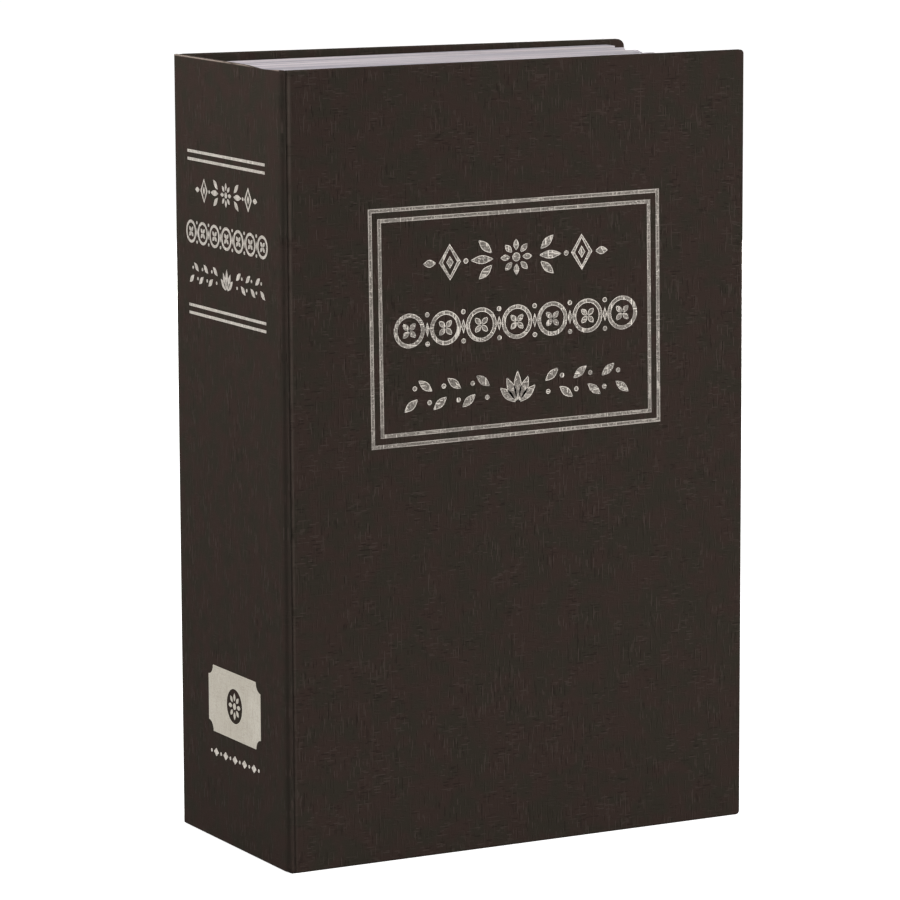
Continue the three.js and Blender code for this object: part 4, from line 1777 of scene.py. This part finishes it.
@dataclass
class SteelBox:
    """The steel box with its folded rim, the keeper inside and the keeper's rivets."""

    sheet: float = 1.0
    corner_radius: float = 2.0
    fold_radius: float = 0.9
    rim_width: float = 8.0
    mouth_radius: float = 3.0
    rivet_hole: float = 1.6
    keeper_corner: float = 2.0
    keeper_bend: float = 1.2
    rivets: tuple[str, str] = ("keeper_rivet_lower", "keeper_rivet_upper")

    def shell(self) -> None:
        """Makes the box: a rounded hollow, cut open at the mouth and drilled for the rivets."""
        low, high = cad_box("box_body")
        walls = []
        for inset in (0.0, self.sheet):
            margin = Vector((inset, inset, inset))
            wall = slab(low + margin, high - margin)
            round_edges(wall, edges_along(wall, Y), self.corner_radius - inset, 5)
            round_edges(wall, hard_edges(wall), max(0.2, self.fold_radius - inset), 3)
            walls.append(wall)
        rim = self.rim_width
        mouth = slab((low.x + rim, low.y - 2, low.z + rim), (high.x - rim, low.y + 2, high.z - rim))
        round_edges(mouth, edges_along(mouth, Y), self.mouth_radius, 6)
        bm = carved(carved(*walls), mouth)
        for node in self.rivets:
            place = middle(node)
            drill = round_bar(self.rivet_hole, high.x - 3, high.x + 2)
            bm = carved(bm, face_x(drill, place.y, place.z))
        finish = PowderCoat("box_powder_coat", **rubbed_and_highlit_box(low, high))
        Piece("steel_box", finish, Body.CASE, "box_body", edge=0.15).make(bm)

    def keeper(self) -> None:
        """Makes the bent strip that the cam turns behind."""
        low, high = cad_box("keeper_bracket")
        half = self.sheet / 2
        bend_x = high.x - half - self.keeper_bend
        centre = Vector((bend_x, low.y + half + self.keeper_bend, 0))
        bm = bmesh.new()
        edges = chain(bm, ((low.x, low.y + half, z) for z in (low.z, high.z)))
        edges = extruded(bm, edges, (bend_x - low.x, 0, 0))
        turn = {"cent": centre, "axis": UP, "angle": math.pi / 2, "steps": 6}
        made = bmesh.ops.spin(bm, geom=[*edges, *edges[0].verts], **turn)["geom_last"]
        edges = [part for part in made if isinstance(part, BMEdge)]
        extruded(bm, edges, (0, high.y - centre.y, 0))
        corners = [vert for vert in bm.verts if len(vert.link_edges) == 2]
        bmesh.ops.bevel(
            bm, geom=corners, offset=self.keeper_corner, offset_type="OFFSET", segments=5,
            profile=0.5, affect="VERTICES", material=-1,
        )
        bmesh.ops.recalc_face_normals(bm, faces=bm.faces)
        wall = {"wall": self.sheet, "wall_offset": 0.0}
        Piece("keeper_strip", ZINC, Body.CASE, "keeper_bracket", edge=0.15, **wall).make(bm)

    def rivet(self, node: str) -> None:
        """Makes a rivet with a domed head inside and a flatter one outside.

        Args:
            node: The CAD node that it replaces.
        """
        low, high = cad_box(node)
        radius = (high.z - low.z) / 2
        shank = self.rivet_hole - 0.2
        _, wall = cad_box("box_body")
        keeper_low = wall.x - 2 * self.sheet
        profile = [
            (0, low.x), (0.55 * radius, low.x + 0.12), (0.88 * radius, low.x + 0.4), (radius, keeper_low),
            (shank, keeper_low), (shank, wall.x), (radius, wall.x), (0.9 * radius, high.x - 0.25),
            (0.6 * radius, high.x), (0, high.x),
        ]
        place = middle(node)
        bm = face_x(turned(profile, steps=32), place.y, place.z)
        Piece(node.replace("keeper_rivet", "rivet"), ZINC, Body.CASE, node).make(bm)

    def make(self) -> None:
        """Makes the box, the keeper and its rivets."""
        self.shell()
        self.keeper()
        for node in self.rivets:
            self.rivet(node)


@dataclass
class LidHinge:
    """The piano hinge of the lid: two leaves rolled round one pin."""

    sheet: float = 0.6
    knuckles: int = 7
    knuckle_gap: float = 0.3
    notch_gap: float = 0.25
    roll: float = 300.0
    roll_steps: int = 22
    shank_radius: float = 0.8

    def __post_init__(self) -> None:
        """Takes the pin's place and the hinge's length from the CAD nodes."""
        self.pin = middle("hinge_pin")
        low, high = cad_box("box_hinge_leaf")
        self.tail, self.head = low.z, high.z
        self.knuckle_radius = self.pin.x - low.x
        self.roll_radius = self.knuckle_radius - self.sheet / 2

    def spans(self, first: int) -> list[Pair]:
        """Gives the lower and upper end of every second knuckle.

        Args:
            first: The number of the first one.

        Returns:
            The pair of heights of each.
        """
        pitch = (self.head - self.tail) / self.knuckles
        half_gap = self.knuckle_gap / 2
        starts = [self.tail + i * pitch for i in range(first, self.knuckles, 2)]
        return [(start + half_gap, start + pitch - half_gap) for start in starts]

    def leaf(self, name: str, body: Body, first: int, free_edge: Vector, foot: Vector, way: int) -> None:
        """Makes one leaf.

        Args:
            name: The piece's name: what the leaf is on, and the word leaf.
            body: What it rides on.
            first: The number of its first knuckle.
            free_edge: Where the leaf's free edge lies, in X and Y.
            foot: Where its knuckles start to roll.
            way: 1 if they roll anticlockwise, seen from the head, or else -1.
        """
        node = name.replace("_leaf", "_hinge_leaf")
        own = self.spans(first)
        middles = [round(sum(span) / 2, 2) for span in own]
        heights = sorted({self.tail, self.head, *(end for span in own for end in span)})
        bm = bmesh.new()
        edges = chain(bm, ((free_edge.x, free_edge.y, z) for z in heights))
        notch = (foot - free_edge).normalized() * (self.knuckle_radius + self.notch_gap)
        edges = extruded(bm, edges, foot - notch - free_edge)
        own_edges = [edge for edge in edges if round(sum(vert.co.z for vert in edge.verts) / 2, 2) in middles]
        rolled = extruded(bm, own_edges, notch)
        geom = [*rolled, *{vert for edge in rolled for vert in edge.verts}]
        turn = {"cent": self.pin, "axis": UP, "angle": way * math.radians(self.roll)}
        bmesh.ops.spin(bm, geom=geom, steps=self.roll_steps, **turn)
        finish = PowderCoat(f"{name}_powder_coat", **rubbed_and_highlit_box(*cad_box(node)))
        piece = Piece(name, finish, body, node, edge=0.1, wall=self.sheet, wall_offset=0.0)
        piece.make(cleaned(bm))

    def rod(self) -> None:
        """Makes the pin with its two upset heads."""
        low, high = cad_box("hinge_pin")
        radius = (high.x - low.x) / 2
        dome, rim = 0.15, 0.45
        profile = [
            (0, low.z), (0.8 * radius, low.z + dome), (radius, low.z + rim), (radius, self.tail),
            (self.shank_radius, self.tail), (self.shank_radius, self.head), (radius, self.head),
            (radius, high.z - rim), (0.8 * radius, high.z - dome), (0, high.z),
        ]
        bm = moved(turned(profile, steps=24), (self.pin.x, self.pin.y, 0))
        Piece("hinge_rod", ZINC, Body.CASE, "hinge_pin").make(bm)

    def make(self) -> None:
        """Makes both leaves and the pin."""
        _, box_leaf_high = cad_box("box_hinge_leaf")
        box_x = self.pin.x - self.roll_radius
        box_free, box_foot = Vector((box_x, box_leaf_high.y, 0)), Vector((box_x, self.pin.y, 0))
        self.leaf("box_leaf", Body.CASE, 0, box_free, box_foot, 1)
        _, lid_leaf_high = cad_box("lid_hinge_leaf")
        lid_low, _ = cad_box("box_lid")
        leaf_y = lid_low.y - self.sheet / 2
        reach = math.sqrt(self.roll_radius**2 - (leaf_y - self.pin.y) ** 2)
        lid_free, lid_foot = Vector((lid_leaf_high.x, leaf_y, 0)), Vector((self.pin.x + reach, leaf_y, 0))
        self.leaf("lid_leaf", Body.LID, 1, lid_free, lid_foot, -1)
        self.rod()


@dataclass
class Lid:
    """The box's lid: a flat steel plate with a double-flatted hole for the lock."""

    corner_radius: float = 2.0
    fold_radius: float = 0.35
    hole_radius: float = 7.15
    hole_half_width: float = 6.15

    def make(self) -> None:
        """Makes the lid."""
        low, high = cad_box("box_lid")
        lock = middle("lock_barrel")
        bm = slab(low, high)
        round_edges(bm, edges_along(bm, Y), self.corner_radius, 6)
        round_edges(bm, hard_edges(bm), self.fold_radius, 3)
        round_hole = face_y(round_bar(self.hole_radius, low.y - 1, high.y + 1))
        half_width, half_height = self.hole_half_width, 2 * self.hole_radius
        flats = slab((-half_width, low.y - 2, -half_height), (half_width, high.y + 2, half_height))
        hole = carved(round_hole, flats, Carve.KEEP)
        bm = carved(bm, moved(hole, (lock.x, 0, lock.z)))
        finish = PowderCoat("lid_powder_coat", 0.46, specular=0.4, **rubbed_and_highlit_box(low, high))
        Piece("lid_panel", finish, Body.LID, "box_lid").make(bm)


# Cam lock


@dataclass
class CamLock:
    """The lock on the lid: barrel, washer and nut stay, and plug, cam and screw turn."""

    bore: float = 5.15
    barrel_radius: float = 7.0
    barrel_half_width: float = 6.0
    thread_pitch: float = 1.0
    thread_depth: float = 0.45
    plug_radius: float = 5.0
    key_width: float = 1.8
    key_height: float = 7.0
    key_depth: float = 8.0
    key_corner: float = 0.3
    wafers: int = 4
    stub: float = 6.0
    screw_radius: float = 1.9
    chamfer: float = 0.5
    softened: float = 0.15
    play: float = 0.1

    def __post_init__(self) -> None:
        """Takes the lock's axis from the barrel."""
        self.axis = middle("lock_barrel")

    def on_axis(self, bm: BMesh) -> BMesh:
        """Turns a mesh to face the lid and moves it onto the lock's axis."""
        return face_y(bm, self.axis.x, self.axis.z)

    def hexagon(self, across_flats: float, start: float, end: float) -> BMesh:
        """Makes a hexagonal bar along the lock's axis, chamfered at both ends.

        Args:
            across_flats: Its width over two flats.
            start: Where it starts along Y.
            end: Where it ends.

        Returns:
            The solid, with its axis still along Z.
        """
        corner = across_flats / math.sqrt(3)
        bm = bmesh.new()
        place = Matrix.Translation((0, 0, (start + end) / 2))
        bmesh.ops.create_cone(
            bm, cap_ends=True, segments=6, radius1=corner, radius2=corner, depth=end - start, matrix=place
        )
        flat, wide, slope = across_flats / 2 - 0.1, corner + 0.05, self.chamfer
        profile = [
            (0, start), (flat, start), (wide, start + slope), (wide, end - slope), (flat, end), (0, end),
        ]
        return carved(bm, turned(profile), Carve.KEEP)

    def barrel(self) -> None:
        """Makes the barrel: a domed flange, a thread and two flats."""
        low, high = cad_box("lock_barrel")
        lid_low, _ = cad_box("box_lid")
        flange = (high.x - low.x) / 2
        seat = lid_low.y
        profile = [
            (self.bore, high.y), (self.bore, low.y + 0.25), (self.bore + 0.25, low.y), (0.8 * flange, low.y),
            (0.93 * flange, low.y + 0.2), (flange, low.y + 0.7), (flange, seat), (self.barrel_radius, seat),
        ]
        root = self.barrel_radius - self.thread_depth
        turns = int((high.y - seat - 1.6) / self.thread_pitch)
        for i in range(turns):
            start = seat + 1.2 + i * self.thread_pitch
            profile += [(self.barrel_radius, start), (root, start + self.thread_pitch / 2)]
        profile += [(self.barrel_radius, high.y - 0.4), (self.barrel_radius - 0.4, high.y)]
        bm = turned(profile, ring=True)
        for side in (-1, 1):
            near, far = sorted((side * self.barrel_half_width, side * 2 * self.barrel_radius))
            bm = carved(bm, slab((near, -flange, seat), (far, flange, high.y + 1)))
        Piece("lock_case", CHROME, Body.LID, "lock_barrel").make(self.on_axis(bm))

    def washer(self, node: str, name: str, body: Body, bore: float) -> None:
        """Makes a flat washer with softened edges.

        Args:
            node: The CAD node that it replaces.
            name: The piece's name.
            body: What it rides on.
            bore: The radius of its hole.
        """
        low, high = cad_box(node)
        radius = (high.x - low.x) / 2
        soft = self.softened
        profile = [
            (bore, low.y), (radius - soft, low.y), (radius, low.y + soft), (radius, high.y - soft),
            (radius - soft, high.y), (bore, high.y),
        ]
        Piece(name, ZINC, body, node).make(self.on_axis(turned(profile, ring=True)))

    def nut(self) -> None:
        """Makes the hexagonal nut."""
        low, high = cad_box("lock_nut")
        bm = self.hexagon(high.z - low.z, low.y, high.y)
        bm = carved(bm, round_bar(self.barrel_radius + 0.05, low.y - 1, high.y + 1, 48))
        Piece("lock_hex_nut", ZINC, Body.LID, "lock_nut").make(self.on_axis(bm))

    def plug(self) -> None:
        """Makes the plug: a turned core with a keyway, slots for the wafers and a square stub."""
        low, high = cad_box("lock_plug")
        cam_low, _ = cad_box("lock_cam")
        shoulder, radius, edge = cam_low.y, self.plug_radius, 2 * self.softened
        profile = [
            (0, low.y), (radius - edge, low.y), (radius, low.y + edge), (radius, shoulder), (0, shoulder),
        ]
        half = self.stub / 2
        stub = slab((-half, shoulder - 1, -half), (half, high.y, half))
        bm = carved(face_y(turned(profile)), stub, Carve.ADD)
        key_corner = Vector((self.key_width / 2, low.y + self.key_depth, self.key_height / 2))
        keyway = slab((-key_corner.x, low.y - 1, -key_corner.z), key_corner)
        round_edges(keyway, edges_along(keyway, Y), self.key_corner, 2)
        bm = carved(bm, keyway)
        for i in range(1, self.wafers + 1):
            wafer_low, wafer_high = cad_box(f"lock_wafer_{i}")
            half_width = (wafer_high.x - wafer_low.x) / 2 + self.play
            near, far = wafer_low.y - self.play, wafer_high.y + self.play
            bm = carved(bm, slab((-half_width, near, -2 * radius), (half_width, far, 2 * radius)))
        piece = Piece("key_plug", CHROME, Body.TURNING_PLUG, "lock_plug")
        piece.make(moved(bm, (self.axis.x, 0, self.axis.z)))

    def cam(self) -> None:
        """Makes the cam: a flat bar with round ends and a square hole."""
        low, high = cad_box("lock_cam")
        radius = (high.x - low.x) / 2
        straight = high.z - low.z - 2 * radius
        bm = bmesh.new()
        bmesh.ops.create_circle(bm, cap_ends=True, radius=radius, segments=48)
        for vert in bm.verts:
            if vert.co.y > NEAR:
                vert.co.y += straight
        moved(thickened(bm, high.y - low.y), (0, 0, low.y))
        half = self.stub / 2 + self.play
        bm = carved(bm, slab((-half, -half, low.y - 1), (half, half, high.y + 1)))
        piece = Piece("cam_plate", CAM_ZINC, Body.TURNING_PLUG, "lock_cam", edge=0.2)
        piece.make(self.on_axis(bm))

    def screw(self) -> None:
        """Makes the hexagon screw that holds the cam."""
        low, high = cad_box("cam_screw")
        _, washer_high = cad_box("cam_washer")
        bm = self.hexagon(high.z - low.z, washer_high.y, high.y)
        bm = carved(bm, round_bar(self.screw_radius, low.y, washer_high.y + 0.5, 48), Carve.ADD)
        piece = Piece("cam_hex_screw", ZINC, Body.TURNING_PLUG, "cam_screw")
        piece.make(self.on_axis(bm))

    def dress_wafers(self) -> None:
        """Gives the wafers, which show as the CAD model has them, their brass."""
        for i in range(1, self.wafers + 1):
            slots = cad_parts[f"lock_wafer_{i}"].data.materials
            slots.clear()
            slots.append(BRASS.material())
        log.info("%d wafers: CAD nodes in %s", self.wafers, BRASS.name)

    def make(self) -> None:
        """Makes the whole lock."""
        self.barrel()
        self.washer("lock_washer", "lock_flat_washer", Body.LID, self.barrel_radius + 0.15)
        self.nut()
        self.plug()
        self.cam()
        self.washer("cam_washer", "cam_flat_washer", Body.TURNING_PLUG, self.screw_radius + 0.1)
        self.screw()
        self.dress_wafers()


# Studio


@dataclass
class PhotoCamera:
    """The camera, as the photograph's perspective gives it. Its lens is worked out for a square picture."""

    picture_px: float = 900.0
    focal_px: float = 4689.7
    sensor_mm: float = 36.0
    azimuth: float = -28.151
    elevation: float = 9.126
    roll: float = -0.232
    place_mm: Triple = (-678.39, -1260.91, 346.93)

    def make(self) -> None:
        """Makes the camera and sets it as the scene's."""
        data = bpy.data.cameras.new("photo_camera")
        data.sensor_width = self.sensor_mm
        data.lens = self.sensor_mm * self.focal_px / self.picture_px
        camera = linked("photo_camera", data)
        azimuth, elevation = math.radians(self.azimuth), math.radians(self.elevation)
        level = math.cos(elevation)
        back = Vector((math.sin(azimuth) * level, -math.cos(azimuth) * level, math.sin(elevation)))
        roll = Matrix.Rotation(math.radians(self.roll), 4, "Z")
        camera.matrix_world = Matrix.Translation(Vector(self.place_mm) * MM) @ looking(-back) @ roll
        bpy.context.scene.camera = camera


def looking(way: Vector) -> Matrix:
    """Gives the turn that points a camera or a lamp one way."""
    return way.to_track_quat("-Z", "Y").to_matrix().to_4x4()


@dataclass
class SoftBox:
    """A large soft lamp that looks at a point, in metres and watts."""

    name: str
    place: Triple
    target: Triple
    size: float
    power: float

    def make(self) -> None:
        """Makes the lamp."""
        data = bpy.data.lights.new(self.name, "AREA")
        data.shape = "SQUARE"
        data.size = self.size
        data.energy = self.power
        aim = looking(Vector(self.target) - Vector(self.place))
        linked(self.name, data).matrix_world = Matrix.Translation(self.place) @ aim


@dataclass
class Studio:
    """A pale floor, a white surround and soft lamps at a plain level."""

    floor_size: float = 30.0
    floor_colour: Colour = srgb(205, 205, 205)
    floor_lift: float = 0.92
    ambient: float = 0.2
    lamps: tuple[SoftBox, ...] = field(default_factory=lambda: (
        SoftBox("spine_lamp", (-0.46, 0.02, 0.54), (-0.08, 0.0, 0.22), size=0.22, power=3.1),
        SoftBox("front_lamp", (1.2, -1.1, 0.5), (0.0, 0.0, 0.12), size=0.9, power=30.0),
        SoftBox("top_lamp", (0.1, 0.5, 1.2), (0.0, 0.0, 0.2), size=0.7, power=1.75),
        SoftBox("back_lamp", (0.9, 1.3, 0.15), (0.0, 0.0, 0.12), size=0.36, power=19.0),
    ))

    def seen_share(self, w: Wiring) -> NodeSocket:
        """Tells rays that show the background, straight or in a reflection, from rays that light.

        Args:
            w: The wiring of the world or the floor.

        Returns:
            1 for rays that show it, or else 0.
        """
        path = w.add("ShaderNodeLightPath").outputs
        seen = w.calc("MAXIMUM", path["Is Camera Ray"], path["Is Glossy Ray"])
        return w.calc("MAXIMUM", seen, path["Is Transmission Ray"])

    def surround(self) -> None:
        """Makes the world white where it is seen and plain where it lights."""
        world = bpy.data.worlds.new("surround")
        world.use_nodes = True
        world.node_tree.nodes.clear()
        w = Wiring(world.node_tree)
        strength = w.fade(self.seen_share(w), 0.0, 1.0, self.ambient, 1.0)
        light = w.add("ShaderNodeBackground", {"Color": WHITE, "Strength": strength})
        w.add("ShaderNodeOutputWorld", {"Surface": light.outputs[0]})
        bpy.context.scene.world = world

    def floor(self) -> None:
        """Makes the floor, white to the camera but for the object's shadow."""
        material, w = new_material("studio_floor")
        paint = w.add("ShaderNodeBsdfDiffuse", {"Color": self.floor_colour})
        lift = w.calc("MULTIPLY", self.seen_share(w), self.floor_lift)
        glow = w.add("ShaderNodeEmission", {"Color": WHITE, "Strength": lift})
        both = w.add("ShaderNodeAddShader", {0: paint.outputs[0], 1: glow.outputs[0]})
        w.add("ShaderNodeOutputMaterial", {"Surface": both.outputs[0]})
        bm = bmesh.new()
        bmesh.ops.create_grid(bm, x_segments=1, y_segments=1, size=self.floor_size / 2 / MM)
        floor = as_object("studio_floor", bm)
        floor.data.materials.append(material)

    def make(self) -> None:
        """Makes the studio and sets the plain view transform."""
        bpy.context.scene.view_settings.view_transform = "Standard"
        self.surround()
        self.floor()
        for lamp in self.lamps:
            lamp.make()


def main() -> None:
    """Builds the studio and the book safe, sub-assembly by sub-assembly."""
    logging.basicConfig(level=logging.INFO, format="%(name)s: %(message)s")
    parts = (
        PhotoCamera(),
        Studio(),
        Cover(Side.FRONT, Body.FRONT_COVER, corner_radius=1.2, hinge_drop=0.2, lean=FRONT_LEAN),
        Cover(Side.BACK, Body.CASE, corner_radius=2.6, fore_edge_drop=1.2, drop_reach=155.0),
        Spine(),
        Joint(Side.FRONT, FRONT_LEAN),
        Joint(Side.BACK),
        FrontFoil(),
        SpineFoil(),
        PageBlock(),
        SteelBox(),
        LidHinge(),
        Lid(),
        CamLock(),
    )
    for part in parts:
        part.make()


if __name__ == "__main__":
    main()
